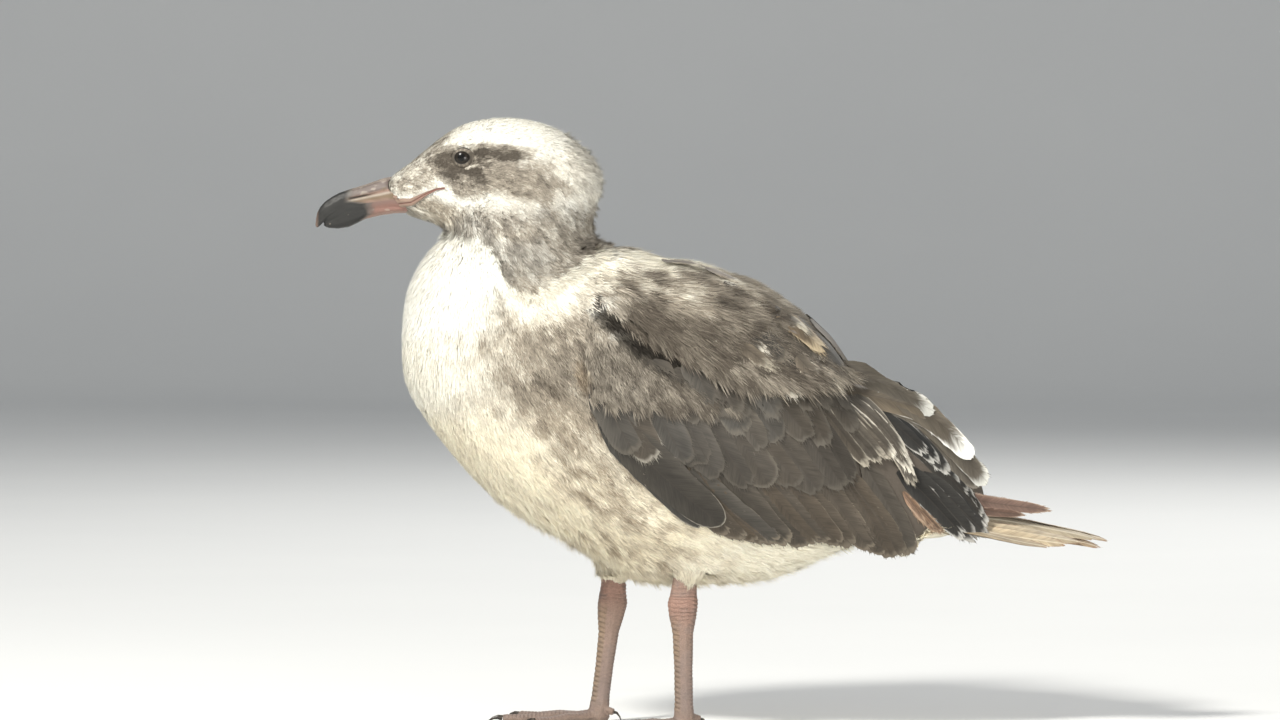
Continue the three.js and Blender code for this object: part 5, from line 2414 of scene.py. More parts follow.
@dataclass
class Tail:
    """The tail's twelve quills and the soft feathers under them."""

    seed: int = 70
    inset: float = 0.4 * MM

    def build(self) -> None:
        """Lay and hand over both halves."""
        draws = np.random.default_rng(self.seed)
        quill = VaneFinish(
            "vane_straw", shaft=(0.78, 0.71, 0.56), shaft_share=0.40, shaft_half=0.50
        ).material()
        down = VaneFinish("vane_under_tail", shaft=(0.7, 0.64, 0.5), shaft_share=0.2).material()
        top = Sheet(["tail"], 2, 1, self.inset, 3 * MM)
        under = Sheet(["tail", "rump"], 2, -1, self.inset, 3 * MM)
        for side in Side:
            replaced = ("tail",) if side is Side.LEFT else ()
            for name, sheet, rows, stations, finish, slot, nodes in (
                ("tail_feathers", top, TAIL_ROWS, 15, quill, "feather_fawn", replaced),
                ("under_tail_feathers", under, UNDERTAIL_ROWS, 11, down, "feather_pale", ()),
            ):
                bed = FeatherBed(sheet, side, draws, stations)
                quills = Quills.gather([bed.quills(row) for row in rows])
                deliver(bed.build(f"{name}_{side.label}", quills), finish, slot, *nodes)


# -------------------- the bill and the corner of the mouth


@dataclass(frozen=True)
class HornFinish:
    """Worn horn: the colours kept on the mesh, with fine scratches along its length."""

    name: str
    low_gloss: float = 0.34
    high_gloss: float = 0.62
    relief: float = 0.08 * MM

    def material(self) -> bpy.types.Material:
        """Make the material."""
        bench = NodeBench(self.name)
        where = bench.places()
        streaks = bench.noise(where, 420.0, 4.0, (0.22, 1.0, 1.0))
        specks = bench.noise(where, 1500.0, 2.0)
        shade = bench.maths("MULTIPLY_ADD", streaks, 0.5, 0.75)
        bench.colour(bench.blend(1.0, bench.attribute("Horn"), shade, "MULTIPLY"))
        bench.roughness(specks, self.low_gloss, self.high_gloss)
        bench.set(Specular_IOR_Level=0.32)
        bench.bump(bench.maths("ADD", streaks, specks), self.relief, 0.5)
        return bench.result


def fine_copy(name: str, nodes: list[str], cell: float, rounds: int) -> bpy.types.Object:
    """Copy some solids as one fine rounded mesh.

    Args:
        name: The new piece's name.
        nodes: The solids.
        cell: The size of its cells.
        rounds: How strongly its facets are rounded.

    Returns:
        The piece.
    """
    piece = copy_nodes(name, nodes)
    refine(piece, cell, rounds)
    return piece


def refine(piece: bpy.types.Object, cell: float, rounds: int) -> None:
    """Remesh a piece finely and round off its facets, keeping its girth.

    Args:
        piece: The piece to change.
        cell: The size of its cells.
        rounds: How strongly its facets are rounded.
    """
    apply_modifier(piece, "REMESH", mode="VOXEL", voxel_size=cell)
    place_points(piece, rounded(mesh_points(piece), mesh_edges(piece), rounds))


def in_bands(values: np.ndarray, along: np.ndarray, spread: float) -> tuple[np.ndarray, np.ndarray]:
    """Find the least and greatest value around each place along a line.

    Args:
        values: A value for each point.
        along: Each point's place along the line.
        spread: The width of the bands that are compared.

    Returns:
        The least and the greatest value near each point.
    """
    low, high = along.min(), along.max()
    count = max(int((high - low) / spread), 2)
    band = np.clip(((along - low) / (high - low) * count).astype(int), 0, count - 1)
    least, most = np.full(count, np.inf), np.full(count, -np.inf)
    np.minimum.at(least, band, values)
    np.maximum.at(most, band, values)
    middles = low + (np.arange(count) + 0.5) * (high - low) / count
    return np.interp(along, middles, least), np.interp(along, middles, most)


@dataclass
class Bill:
    """Both halves of the bill: a hooked black tip, worn pale plates and a pink base."""

    landmarks: Landmarks
    cell: float = 0.36 * MM
    rounds: int = 30
    reach_in: float = 4.5 * MM
    slit_depth: float = 1.0 * MM
    slit_half: float = 0.5 * MM
    hollow_depth: float = 0.45 * MM
    hollow_half: float = 2.2 * MM
    shut: float = 2.7 * MM  # how far the lower half is raised to meet the upper
    seam_turn: float = 1.8  # how strongly the seam's normals turn outwards
    band: float = 1.2 * MM  # how long a stretch its height is read over
    smudge: float = 1.2 * MM  # how unevenly the black tip ends
    lip_rise: float = 0.22 * MM
    flake_rise: float = 0.10 * MM
    edge_groove: float = 0.25 * MM
    side_groove: float = 0.22 * MM
    black: Colour = (0.021, 0.021, 0.020)
    smoke: Colour = (0.085, 0.08, 0.072)
    pink: Colour = (0.225, 0.150, 0.118)
    rose: Colour = (0.195, 0.108, 0.088)
    flake: Colour = (0.32, 0.275, 0.23)
    lilac: Colour = (0.125, 0.098, 0.088)
    tan: Colour = (0.135, 0.10, 0.062)
    noise: BlotchNoise = field(default_factory=lambda: BlotchNoise(31))

    def build(self) -> None:
        """Make and hand over both halves."""
        finish = HornFinish("bill_horn").material()
        for node, paint in (("bill_upper", self._upper), ("bill_lower", self._lower)):
            piece = fine_copy(f"{node}_horn", [node], self.cell, self.rounds)
            points = self._rooted(mesh_points(piece))
            triangles = mesh_triangles(piece)[0]
            normals = vertex_normals(points, triangles)
            points, tone = paint(points, normals)
            place_points(piece, points)
            set_colours(piece, "Horn", tone)
            set_normals(piece, self._facing(points, triangles, node == "bill_lower"))
            deliver(piece, finish, "bill_horn", node)

    def _facing(self, points: np.ndarray, triangles: np.ndarray, low: bool) -> np.ndarray:
        """Turn the normals along the seam outwards, so that both halves share one flank.

        Args:
            points: The half's vertices.
            triangles: Its faces.
            low: Whether it is the lower half.

        Returns:
            The normals to shade it by.
        """
        up = self._height_share(points)
        near = smooth_step(1 - up if low else up, 0.5, 0.1)
        outward = np.sign(points[:, 1])[:, None] * np.array([[0.0, 1.0, 0.0]])
        return unit(vertex_normals(points, triangles) + self.seam_turn * near[:, None] * outward)

    def _height_share(self, points: np.ndarray) -> np.ndarray:
        """How high points lie on their half of the bill, from 0 to 1."""
        least, most = in_bands(points[:, 2], points[:, 0], self.band)
        return (points[:, 2] - least) / (most - least)

    def _rooted(self, points: np.ndarray) -> np.ndarray:
        """Carry the rear end on into the head, so that no gap shows at the base."""
        rear = points[:, 0].max()
        points = points.copy()
        points[:, 0] += self.reach_in * smooth_step(points[:, 0], rear - 6 * MM, rear)
        return points

    def _groove(self, points: np.ndarray) -> tuple[np.ndarray, np.ndarray, np.ndarray]:
        """Measure points from the nostril's slit.

        Args:
            points: Places on the upper half.

        Returns:
            The share along the slit, the distance from it and the height above it.
        """
        front = self.landmarks.spot("bill_upper", 0.43, 0.565)
        rear = self.landmarks.spot("bill_upper", 0.86, 0.70)
        run = rear - front
        place = points[:, [0, 2]] - front
        share = place @ run / (run @ run)
        nearest = np.clip(share, 0, 1)[:, None] * run
        above = place @ np.array([-run[1], run[0]]) / np.linalg.norm(run)
        return share, np.linalg.norm(place - nearest, axis=1), above

    def _upper(self, points: np.ndarray, normals: np.ndarray) -> tuple[np.ndarray, np.ndarray]:
        """Sculpt and colour the upper half.

        Args:
            points: Its vertices.
            normals: Their normals.

        Returns:
            The sculpted vertices and their colours.
        """
        flank = smooth_step(np.abs(normals[:, 1]), 0.25, 0.75)
        share, gap, above = self._groove(points)
        open_slit = smooth_step(share, 1.0, 0.35) * smooth_step(share, -0.06, 0.05)
        slit = np.exp(-((gap / self.slit_half) ** 2)) * (0.25 + 0.75 * open_slit)
        hollow = np.exp(-((gap / self.hollow_half) ** 2))
        lip = np.exp(-(((above + 1.3 * MM) / (0.7 * MM)) ** 2)) * smooth_step(share, -0.15, 0.1)
        up = self._height_share(points)
        flakes = self.noise.layered(points * [0.5, 1, 1], 2.6 * MM)
        rise = (
            -self.slit_depth * slit * flank
            - self.hollow_depth * hollow * flank
            + self.lip_rise * lip * flank
            + self.flake_rise * np.round(flakes * 2) / 2 * smooth_step(up, 0.45, 0.7)
            - self.edge_groove * np.exp(-(((up - 0.10) / 0.05) ** 2)) * flank
        )
        tone = laid_over(
            self.pink,
            (self.tan, np.exp(-(((up - 0.33 - 0.05 * flakes) / 0.11) ** 2)) * 0.85),
            (self.flake, np.clip(lip * 0.9, 0, 1)),
            (self.lilac, smooth_step(up, 0.52, 0.62)),
            (self.flake, smooth_step(up, 0.86, 0.97) * 0.45),
            (self.flake, smooth_step(flakes, 0.30, 0.6) * smooth_step(up, 0.5, 0.65) * 0.5),
            (self.tan, smooth_step(-flakes, 0.35, 0.7) * 0.45),
            (self.black, slit * open_slit),
        )
        bound = self.landmarks.spot("bill_upper", 0.41, 0)[0]
        mouth = self.landmarks.spot("bill_upper", 0.60, 0)[0]
        edge = bound + (mouth - bound) * smooth_step(up, 0.42, 0.12)
        return points + normals * rise[:, None], self._tip(tone, points, edge, flakes)

    def _lower(self, points: np.ndarray, normals: np.ndarray) -> tuple[np.ndarray, np.ndarray]:
        """Sculpt and colour the lower half.

        Args:
            points: Its vertices.
            normals: Their normals.

        Returns:
            The sculpted vertices and their colours.
        """
        up = self._height_share(points)
        flakes = self.noise.layered(points * [0.5, 1, 1], 2.2 * MM)
        flank = smooth_step(np.abs(normals[:, 1]), 0.25, 0.75)
        rise = -self.side_groove * np.exp(-(((up - 0.62) / 0.16) ** 2)) * flank
        rise = rise + 0.5 * self.flake_rise * flakes
        rise = rise + self.shut * smooth_step(normals[:, 2], 0.2, 0.8) * smooth_step(up, 0.5, 0.9)
        tone = laid_over(
            self.rose,
            (self.pink, smooth_step(up, 0.55, 0.1) * 0.7),
            (self.flake, smooth_step(flakes, 0.45, 0.8) * 0.5),
            (self.lilac, smooth_step(up, 0.75, 0.95) * 0.5),
        )
        rear = self.landmarks.spot("bill_lower", 0.56, 0)[0]
        edge = rear - 5 * MM * smooth_step(up, 0.35, 0.0)
        return points + normals * rise[:, None], self._tip(tone, points, edge, flakes)

    def _tip(
        self, tone: np.ndarray, points: np.ndarray, edge: np.ndarray, flakes: np.ndarray
    ) -> np.ndarray:
        """Lay the black tip over the colours of a half.

        Args:
            tone: The colours so far.
            points: The half's vertices.
            edge: Where the black ends, as X.
            flakes: The half's worn patches, from -1 to 1.

        Returns:
            The colours with the tip.
        """
        x = points[:, 0]
        front = self.landmarks.spot("bill_upper", 0.0, 0)[0]
        worn_x = x - self.smudge * flakes
        smoke = smooth_step(worn_x, edge + 4.5 * MM, edge + 0.5 * MM)
        black = smooth_step(worn_x, edge + 1.5 * MM, edge - 2.5 * MM)
        worn = smooth_step(x, front + 2.6 * MM, front + 0.4 * MM)
        specks = smooth_step(self.noise.at(points, 0.9 * MM), 0.72, 0.9) * 0.6
        specks = specks * smooth_step(self.noise.at(points, 5.0 * MM), -0.1, 0.4)
        return laid_over(
            tone,
            (self.smoke, smoke * 0.8),
            (self.black, black),
            (self.pink, worn * 0.55),
            (self.flake, specks * black),
        )


@dataclass
class Gape:
    """The bare rim that runs back from the bill to the corner of the mouth."""

    landmarks: Landmarks
    half_front: float = 2.3 * MM
    half_rear: float = 0.16 * MM
    stations: int = 40
    rows: int = 11
    lift: float = 0.55 * MM  # how far the rim lies over the plumage
    swell: float = 0.35 * MM
    groove_half: float = 0.32 * MM
    groove_depth: float = 0.6 * MM
    edge_depth: float = 0.5 * MM
    margin: float = 0.5 * MM  # how far the rim runs under the feathers
    cheek: float = 15 * MM  # about how far out the cheek lies
    pink: Colour = (0.25, 0.175, 0.135)
    red: Colour = (0.15, 0.06, 0.05)

    def __post_init__(self) -> None:
        """Draw the line of the mouth in the side view."""
        line = self.landmarks.line
        self.route = np.concatenate(
            [
                line("bill_lower", (0.62, 0.86), (0.92, 0.98)),
                line("head", (0.13, 0.30), (0.20, 0.37), (0.245, 0.405), (0.285, 0.415)),
            ]
        )

    def _halves(self, shares: np.ndarray) -> np.ndarray:
        """Half the rim's width at shares of its length."""
        fore = smooth_step(shares, 0.95, 0.25)
        return self.half_rear + (self.half_front - self.half_rear) * fore

    def covers(self, points: np.ndarray) -> np.ndarray:
        """Whether points lie on the rim, in the side view."""
        shares = np.linspace(0.2, 0.93, 50)
        line, halves = along_route(self.route, shares), self._halves(shares)
        gaps = np.linalg.norm(points[:, None, [0, 2]] - line[None], axis=2)
        return (gaps < halves[None] + self.margin).any(axis=1)

    def build(self, lay: Lay) -> None:
        """Make and hand over the rim on both sides.

        Args:
            lay: The surface of the head's plumage.
        """
        finish = HornFinish("gape_skin", low_gloss=0.42, high_gloss=0.6).material()
        shares = np.linspace(0.12, 1.0, self.stations)
        line = along_route(self.route, shares)
        ahead = np.gradient(line, axis=0)
        ahead /= np.linalg.norm(ahead, axis=1, keepdims=True)
        across = np.stack([-ahead[:, 1], ahead[:, 0]], axis=1)
        rows = np.linspace(-1, 1, self.rows)
        halves = self._halves(shares) + self.margin
        level = line[:, None] + across[:, None] * (halves[:, None] * rows)[..., None]
        groove = np.exp(-((rows[None] * halves[:, None] / self.groove_half) ** 2))
        swell = self.swell * (1 - rows**2)[None] - self.groove_depth * groove
        swell -= self.edge_depth * smooth_step(np.abs(rows), 0.7, 1.0)[None]
        warm = smooth_step(shares, 0.45, 0.9)[:, None] * 0.30
        tone = laid_over(self.pink, (self.red, groove), (np.array(self.red) * 1.35, warm))
        for side in Side:
            start = np.zeros((*level.shape[:2], 3))
            start[..., 0], start[..., 2] = level[..., 0], level[..., 1]
            points = start.reshape(-1, 3).copy()
            points[:, 1] = side.value * self.cheek
            faces, normals = lay.nearest(points)
            for n, place in enumerate(start.reshape(-1, 3)):
                begin = place + [0, side.value * 0.1, 0]
                hit, normal = lay.cast(begin, np.array([0.0, -side.value, 0.0]))
                if hit is not None:
                    faces[n], normals[n] = hit, normal
            points = faces + normals * (swell.reshape(-1, 1) + self.lift)
            piece = sheet_piece(f"gape_{side.label}", points, self.stations, self.rows, side)
            set_colours(piece, "Horn", tone.reshape(-1, 3))
            deliver(piece, finish, "bill_horn")


def sheet_piece(
    name: str, points: np.ndarray, rows: int, columns: int, side: Side, closed: bool = False
) -> bpy.types.Object:
    """Join a grid of points into a sheet whose faces look outwards on the given side.

    Args:
        name: The piece's name.
        points: The points, row after row.
        rows: How many rows there are.
        columns: How many points a row has.
        side: The side of the bird it lies on.
        closed: Whether the last row joins the first.

    Returns:
        The piece.
    """
    i, j = np.meshgrid(
        np.arange(rows if closed else rows - 1), np.arange(columns - 1), indexing="ij"
    )
    i, j = i.ravel(), j.ravel()
    after = (i + 1) % rows
    near, far = i * columns + j, after * columns + j
    faces = np.stack([near, far, far + 1, near + 1], axis=1)
    a, b, c = (points[faces[:, k]] for k in range(3))
    outward = np.cross(b - a, c - a).sum(axis=0)[1] * side.value
    if outward < 0:
        faces = faces[:, ::-1]
    return make_mesh(name, points, faces)


# -------------------- the eyes


@dataclass(frozen=True)
class EyeFinish:
    """A wet dark eye: brown iris round a black pupil, under a clear gloss."""

    name: str = "eye_wet"

    def material(self) -> bpy.types.Material:
        """Make the material."""
        bench = NodeBench(self.name)
        fleck = bench.noise(bench.places(), 1800.0, 3.0)
        shade = bench.maths("MULTIPLY_ADD", fleck, 0.8, 0.6)
        bench.colour(bench.blend(1.0, bench.attribute("Iris"), shade, "MULTIPLY"))
        bench.roughness(fleck, 0.16, 0.28)
        bench.set(Specular_IOR_Level=0.22)
        bench.bump(fleck, 0.004 * MM, 0.1)
        return bench.result


@dataclass
class Eye:
    """One eye: the ball with its swollen clear front, and the lids around it."""

    form: BodyForm
    side: Side
    rings: int = 36
    spokes: int = 64
    swell: float = 0.25 * MM
    swell_angle: float = 0.95  # radians from the line of gaze
    half_length: float = 4.2 * MM
    half_height: float = 3.6 * MM
    lid_width: float = 0.42 * MM
    lid_rows: tuple[float, ...] = (-0.30, -0.05, 0.25, 0.7, 1.4, 2.4, 3.4, 4.6, 5.8)
    lid_rise: tuple[float, ...] = (-0.35, 0.06, 0.20, 0.24, 0.24, 0.24, 0.30, 0.30, -1.0)  # mm
    pupil: float = 2.2 * MM
    creases: int = 23  # round the lids
    pupil_black: Colour = (0.006, 0.006, 0.006)
    iris: Colour = (0.018, 0.015, 0.012)
    lid: Colour = (0.022, 0.019, 0.016)
    lid_pale: Colour = (0.30, 0.26, 0.21)

    def build(self) -> None:
        """Make and hand over the ball and the lids."""
        node = f"eye_{self.side.label}"
        low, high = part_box(node)
        self.radius = 0.5 * (high.z - low.z)
        outer_y = low.y if self.side is Side.LEFT else high.y
        self.middle = middle_of(node)
        self.middle[1] = outer_y - self.side.value * self.radius
        self.gaze = unit(np.array([-0.16, self.side.value, 0.06]))
        self.across = unit(np.cross([0.0, 0.0, 1.0], self.gaze)) * self.side.value
        self.up = np.cross(self.gaze, self.across) * self.side.value
        deliver(self._ball(), EyeFinish().material(), "eye", node)
        lid_finish = HornFinish("lid_skin", low_gloss=0.4, high_gloss=0.6).material()
        deliver(self._lids(), lid_finish, "leg_skin")

    def _ball(self) -> bpy.types.Object:
        """Model the eyeball round its line of gaze."""
        angle = np.linspace(0.02, math.pi * 0.62, self.rings)
        turn = np.arange(self.spokes) / self.spokes * 2 * math.pi
        reach = self.radius + self.swell * np.exp(-((angle / self.swell_angle) ** 4))
        off = reach * np.sin(angle)
        points = (
            self.middle
            + (np.cos(angle) * reach)[None, :, None] * self.gaze
            + (off[None] * np.cos(turn)[:, None])[..., None] * self.across
            + (off[None] * np.sin(turn)[:, None])[..., None] * self.up
        )
        name, points = f"eyeball_{self.side.label}", points.reshape(-1, 3)
        piece = sheet_piece(name, points, self.spokes, self.rings, self.side, closed=True)
        iris = smooth_step(off, self.pupil * 0.92, self.pupil * 1.08)
        # painted shade: the ball is darkened towards the lids' edge, as if shaded by them
        rim = smooth_step(off, self.half_height * 0.85, self.half_height * 1.1)[:, None]
        tone = laid_over(self.pupil_black, (self.iris, iris)) * (1 - 0.2 * rim)
        set_colours(piece, "Iris", np.tile(tone, (self.spokes, 1)))
        return piece

    def _lids(self) -> bpy.types.Object:
        """Model the lids: a rolled, finely creased rim that runs out under the feathers."""
        turn = np.arange(self.spokes * 2) / (self.spokes * 2) * 2 * math.pi
        rows, rise = np.array(self.lid_rows), np.array(self.lid_rise) * MM
        front = np.maximum(-np.cos(turn), 0) ** 8
        half_x = self.half_length * (1 + 0.07 * front)
        half_z = np.where(np.sin(turn) > 0, self.half_height * 0.93, self.half_height)
        crease = 1 + 0.30 * np.sin(turn * self.creases) * np.sin(turn * 7 + 1)
        out = rows[None] * self.lid_width
        side = np.cos(turn)[:, None] * (half_x[:, None] + out)
        tall = np.sin(turn)[:, None] * (half_z[:, None] + out)
        off = np.hypot(side, tall)
        ball = self.radius + self.swell * 0.25
        depth = np.sqrt(np.maximum(ball**2 - np.minimum(off, ball * 0.93) ** 2, 0))
        level = depth + rise[None] * crease[:, None]
        points = (
            self.middle
            + side[..., None] * self.across
            + tall[..., None] * self.up
            + level[..., None] * self.gaze
        )
        name, points = f"eyelids_{self.side.label}", points.reshape(-1, 3)
        piece = sheet_piece(name, points, len(turn), len(rows), self.side, closed=True)
        fleck = 0.5 + 0.5 * np.sin(turn * self.creases) * np.sin(turn * 9 + 1)
        around = 0.30 + 0.70 * fleck * smooth_step(np.abs(np.sin(turn)), 0.4, 0.9)
        pale = around[:, None] * smooth_step(rows, 0.4, 1.5)[None]
        tone = laid_over(self.lid, (self.lid_pale, pale))
        set_colours(piece, "Horn", tone.reshape(-1, 3))
        return piece

    @classmethod
    def covers(cls, points: np.ndarray) -> np.ndarray:
        """Whether points lie on either eye or its lids, in the side view."""
        hidden = np.zeros(len(points), bool)
        for side in Side:
            middle = middle_of(f"eye_{side.label}")
            reach = np.hypot(
                (points[:, 0] - middle[0]) / (cls.half_length + 0.2 * MM),
                (points[:, 2] - middle[2]) / (cls.half_height + 0.1 * MM),
            )
            hidden |= (reach < 1) & (np.sign(points[:, 1]) == side.value)
        return hidden


# -------------------- the legs and feet


@dataclass(frozen=True)
class HideFinish:
    """Scaly bare skin: small rounded scales between dark creases."""

    name: str
    scale: float = 1150.0
    relief: float = 0.16 * MM

    def material(self) -> bpy.types.Material:
        """Make the material."""
        bench = NodeBench(self.name)
        where = bench.places()
        cells = bench.add("TexVoronoi", feature="DISTANCE_TO_EDGE", Scale=self.scale)
        bench.join(where, cells.inputs["Vector"])
        raised = bench.ease(cells.outputs["Distance"], 0.0, 0.22)
        cloud = bench.noise(where, 240.0, 4.0)
        shade = bench.maths("MULTIPLY_ADD", raised, 0.26, 0.66)
        shade = bench.maths("MULTIPLY", shade, bench.maths("MULTIPLY_ADD", cloud, 0.5, 0.8))
        bench.colour(bench.blend(1.0, bench.attribute("Hide"), shade, "MULTIPLY"))
        bench.roughness(cloud, 0.42, 0.62)
        bench.bump(raised, self.relief, 0.7)
        return bench.result


@dataclass
class Leg:
    """One bare leg with its webbed foot and claws."""

    side: Side
    cell: float = 0.58 * MM
    rounds: int = 14
    plate: float = 3.0 * MM  # one plate down the front of the shank
    back_plate: float = 2.1 * MM
    toe_plate: float = 2.3 * MM
    plate_rise: float = 0.42 * MM
    toe_half: float = 3.6 * MM
    ankle_share: float = 0.76  # the ankle's height as a share of the shank's top
    joint_half: float = 11 * MM
    fold: float = 2.3 * MM  # one fold of the skin at the ankle
    clearance: float = 0.2 * MM  # how far the sole stays above the floor
    reach_up: float = 5 * MM  # how far the leg runs on into the thigh
    reach_down: float = 1.2 * MM  # and how far into the foot
    fold_rise: float = 0.34 * MM
    joint_rise: float = 0.30 * MM
    toe_rise: float = 0.26 * MM
    web_rise: float = 0.07 * MM
    web_ridges: int = 46  # in a full turn
    skin: Colour = (0.285, 0.195, 0.152)
    grey: Colour = (0.24, 0.185, 0.165)
    ruddy: Colour = (0.34, 0.195, 0.15)
    ochre: Colour = (0.26, 0.185, 0.10)
    crease: Colour = (0.09, 0.06, 0.045)
    web: Colour = (0.25, 0.18, 0.145)
    claw: Colour = (0.030, 0.025, 0.021)
    noise: BlotchNoise = field(default_factory=lambda: BlotchNoise(47))

    def build(self) -> None:
        """Make and hand over the leg and its claws."""
        shank, foot = f"shank_{self.side.label}", f"foot_{self.side.label}"
        low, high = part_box(shank)
        self.top, self.root = high.z, self._root(shank)
        upper = copy_nodes(f"leg_{self.side.label}", [shank])
        points = mesh_points(upper)
        points[:, 2] += np.where(points[:, 2] > high.z - 2 * MM, self.reach_up, 0)
        points[:, 2] -= np.where(points[:, 2] < low.z + 1 * MM, self.reach_down, 0)
        place_points(upper, points)
        lower = copy_nodes("foot", [foot])
        put_down()
        lower.select_set(True)
        upper.select_set(True)
        bpy.context.view_layer.objects.active = upper
        bpy.ops.object.join()
        refine(upper, self.cell, self.rounds)
        points = mesh_points(upper)
        normals = vertex_normals(points, mesh_triangles(upper)[0])
        rise, tone = self._scaled(points, normals)
        points = points + normals * rise[:, None]
        points[:, 2] = np.maximum(points[:, 2], self.clearance)
        place_points(upper, points)
        set_colours(upper, "Hide", tone)
        deliver(upper, HideFinish("leg_hide").material(), "leg_skin", shank, foot)
        self._claws()

    @staticmethod
    def _root(shank: str) -> np.ndarray:
        """The place where the shank stands on the foot."""
        points = mesh_points(bpy.data.objects[shank])
        return points[points[:, 2] < points[:, 2].min() + 1 * MM].mean(axis=0)

    def _scaled(self, points: np.ndarray, normals: np.ndarray) -> tuple[np.ndarray, np.ndarray]:
        """Work out the plates, the creases and the colours.

        Args:
            points: The leg's vertices.
            normals: Their normals.

        Returns:
            How far each vertex is raised, and its colour.
        """
        x, _, z = points.T
        ankle = self.top * self.ankle_share
        on_shank = smooth_step(z, 9 * MM, 14 * MM)
        below = smooth_step(z, ankle - 4 * MM, ankle - 16 * MM)
        front = smooth_step(-normals[:, 0], 0.15, 0.6) * on_shank * below
        back = smooth_step(normals[:, 0], 0.35, 0.8) * on_shank
        joint = np.exp(-(((z - ankle) / self.joint_half) ** 2))
        wander = self.noise.layered(points, 5 * MM)
        rise, dark = np.zeros(len(points)), np.zeros(len(points))
        for region, size in ((front, self.plate), (back, self.back_plate)):
            slant = z + 0.35 * (x - self.root[0]) + 0.35 * MM * wander
            height, seam = self._plates(slant / size)
            rise += self.plate_rise * (height - 0.4) * region
            dark = np.maximum(dark, seam * region)
        folds, seam = self._plates((z + 0.9 * MM * wander) / self.fold)
        rise += self.fold_rise * (folds - 0.5) * joint
        dark = np.maximum(dark, 0.8 * seam * joint * smooth_step(wander, -0.6, 0.5))
        rise += self.joint_rise * wander * joint
        toe_rise, toe_dark, on_toe = self._toes(points, normals)
        rise += toe_rise
        dark = np.maximum(dark, toe_dark)
        low = smooth_step(z, 16 * MM, 6 * MM)
        tone = laid_over(
            self.skin,
            (self.grey, smooth_step(z, ankle - 8 * MM, 12 * MM) * 0.7),
            (self.ruddy, joint * 0.75),
            (self.ochre, front * 0.55),
            (self.web, low * (1 - on_toe)),
            (self.grey, smooth_step(wander, 0.1, 0.8) * 0.4),
            (self.crease, dark * 0.85),
        )
        return rise, tone

    @staticmethod
    def _plates(steps: np.ndarray) -> tuple[np.ndarray, np.ndarray]:
        """Turn a count of plates into their rounded profile and the seams between them.

        Args:
            steps: The place along a row of plates, one whole number a plate.

        Returns:
            The height from 0 to 1, and how near a seam is from 0 to 1.
        """
        share = steps - np.floor(steps)
        height = np.clip(np.minimum(share / 0.25, (1 - share) / 0.75 + 0.15), 0, 1)
        seam = np.exp(-((np.minimum(share, 1 - share) / 0.13) ** 2))
        return height, seam

    def _toes(
        self, points: np.ndarray, normals: np.ndarray
    ) -> tuple[np.ndarray, np.ndarray, np.ndarray]:
        """Work out the plates along the toes and the wrinkles of the web.

        Args:
            points: The leg's vertices.
            normals: Their normals.

        Returns:
            How far each vertex is raised, how dark it is and how far it is part of a toe.
        """
        rise, dark = np.zeros(len(points)), np.zeros(len(points))
        on_toe = np.zeros(len(points))
        low = smooth_step(points[:, 2], 12 * MM, 8 * MM)
        upward = smooth_step(normals[:, 2], 0.1, 0.6) * low
        for toe in ("inner", "middle", "outer"):
            run = middle_of(f"claw_{self.side.label}_{toe}")[:2] - self.root[:2]
            length = np.linalg.norm(run)
            place = points[:, :2] - self.root[:2]
            along = place @ run / length
            off = np.abs(place @ np.array([-run[1], run[0]]) / length)
            near = smooth_step(off, self.toe_half, self.toe_half * 0.6)
            near = near * (along > 0) * upward
            height, seam = self._plates((along + 0.5 * MM * off / self.toe_half) / self.toe_plate)
            rise = np.where(near > on_toe, self.toe_rise * (height - 0.5) * near, rise)
            dark = np.where(near > on_toe, seam * near * 0.8, dark)
            on_toe = np.maximum(on_toe, near)
        place = points[:, :2] - self.root[:2]
        angle = np.arctan2(place[:, 1], -place[:, 0])
        ridges = np.sin(angle * self.web_ridges + 3 * self.noise.at(points, 6 * MM))
        web = (1 - on_toe) * upward
        rise = rise + self.web_rise * ridges * web
        return rise, np.maximum(dark, 0.22 * web * smooth_step(-ridges, 0.2, 1.0)), on_toe

    def _claws(self) -> None:
        """Make and hand over the claws of this foot."""
        nodes = [f"claw_{self.side.label}_{toe}" for toe in ("inner", "middle", "outer", "hind")]
        piece = fine_copy(f"claws_{self.side.label}", nodes, 0.28 * MM, 8)
        points = mesh_points(piece)
        points[:, 2] = np.maximum(points[:, 2], self.clearance)
        place_points(piece, points)
        pale = smooth_step(self.noise.layered(points, 2.5 * MM), 0.1, 0.9)[:, None]
        set_colours(piece, "Horn", np.array(self.claw) * (1 + 2.2 * pale))
        finish = HornFinish("claw_horn", low_gloss=0.25, high_gloss=0.45).material()
        deliver(piece, finish, "claw_horn", *nodes)


# -------------------- floor, light and camera


@dataclass(frozen=True)
class Lamp:
    """One soft square light."""

    name: str
    place: tuple[float, float, float]
    size: float
    power: float  # watts
    colour: Colour

    def hang(self, aim: Vector) -> None:
        """Hang the light and turn it to the bird."""
        data = bpy.data.lights.new(self.name, "AREA")
        data.size, data.energy, data.color = self.size, self.power, self.colour
        light = bpy.data.objects.new(self.name, data)
        light.location = self.place
        light.rotation_euler = (aim - Vector(self.place)).to_track_quat("-Z", "Y").to_euler()
        bpy.context.scene.collection.objects.link(light)


LAMPS = (
    Lamp("key", (-1.7, -1.8, 2.3), 0.5, 128.0, (1.0, 0.97, 0.90)),
    Lamp("low", (0.7, -2.2, 0.10), 1.0, 54.0, (1.0, 0.96, 0.90)),
    Lamp("rear", (0.9, 2.2, 2.0), 1.6, 40.0, (1.0, 0.98, 0.94)),
)


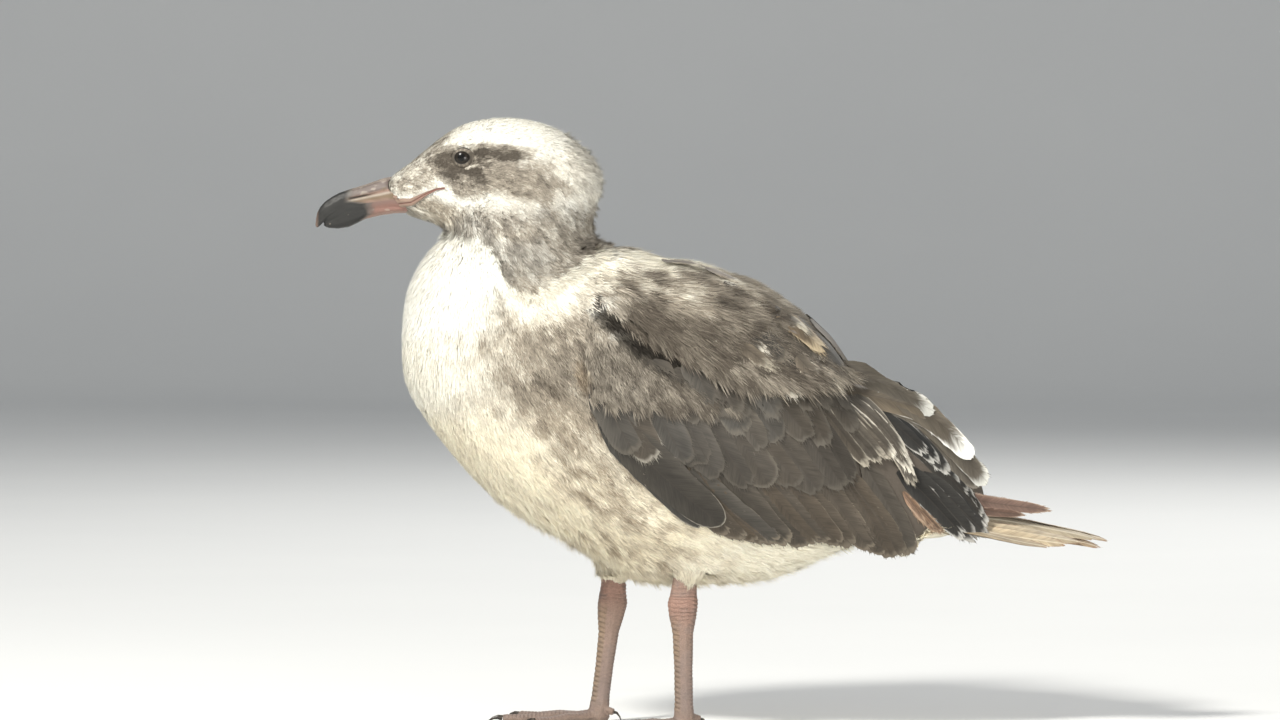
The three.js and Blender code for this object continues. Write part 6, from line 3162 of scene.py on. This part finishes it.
@dataclass
class Studio:
    """A pale floor, soft lights and the camera."""

    distance: float = 4.0
    sensor: float = 36.0
    view_width: float = 0.7488
    aim: tuple[float, float, float] = (-0.0422, 0.0, 0.2147)
    rise: float = math.radians(2.0)
    floor_size: float = 16.0
    floor_depth: float = 4.6
    bend: float = 1.6
    wall: float = 5.0
    sky: Colour = (0.82, 0.85, 0.88)
    sky_strength: float = 0.34

    def build(self) -> None:
        """Set up the whole studio."""
        self._camera()
        self._floor()
        for lamp in LAMPS:
            lamp.hang(Vector(self.aim))
        world = bpy.data.worlds.new("Studio")
        bpy.context.scene.world = world
        world.use_nodes = True
        background = world.node_tree.nodes["Background"]
        background.inputs["Color"].default_value = (*self.sky, 1.0)
        background.inputs["Strength"].default_value = self.sky_strength
        bpy.context.scene.view_settings.view_transform = "Standard"

    def _camera(self) -> None:
        """Place the camera to the bird's left, a little above its middle."""
        data = bpy.data.cameras.new("camera")
        data.sensor_width = self.sensor
        data.lens = self.sensor * self.distance / self.view_width
        camera = bpy.data.objects.new("camera", data)
        back = Vector((0.0, -math.cos(self.rise), math.sin(self.rise))) * self.distance
        camera.location = Vector(self.aim) + back
        camera.rotation_euler = (math.pi / 2 - self.rise, 0.0, 0.0)
        bpy.context.scene.collection.objects.link(camera)
        bpy.context.scene.camera = camera

    def _floor(self) -> None:
        """Lay a floor that sweeps up into a backdrop far behind the bird."""
        half, bend = 0.5 * self.floor_size, self.bend
        turn = np.linspace(0, math.pi / 2, 24)
        depth = np.concatenate([[-half], self.floor_depth + bend * np.sin(turn)])
        height = np.concatenate([[0.0], bend * (1 - np.cos(turn))])
        depth = np.append(depth, depth[-1] + 0.01)
        height = np.append(height, self.wall)
        profile = np.stack([depth, height], axis=1)
        points = np.array([[x, y, z] for x in (-half, half) for y, z in profile])
        floor = sheet_piece("floor", points, 2, len(profile), Side.LEFT)
        floor.data.materials.append(FloorFinish().material())


def main() -> None:
    """Build the bird and its studio in order."""
    logging.basicConfig(level=logging.INFO, format="%(message)s", force=True)
    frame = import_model()
    LOG.info("%d nodes in the frame", len(frame["nodes"]))
    Studio().build()
    landmarks = Landmarks()
    form = BodyForm()
    form.build(landmarks)
    edge, hood = WingEdge(landmarks), HoodEdge(landmarks)
    flow, markings = FlowField(landmarks), Markings(landmarks, hood)
    form.dress(flow, markings, edge)
    gape = Gape(landmarks)
    Coat(form, flow, markings, edge, hood, gape).build()
    for side in Side:
        Wing(form, side).build()
        Eye(form, side).build()
        Leg(side).build()
    Tail().build()
    Bill(landmarks).build()
    gape.build(form.lay)


if __name__ == "__main__":
    main()
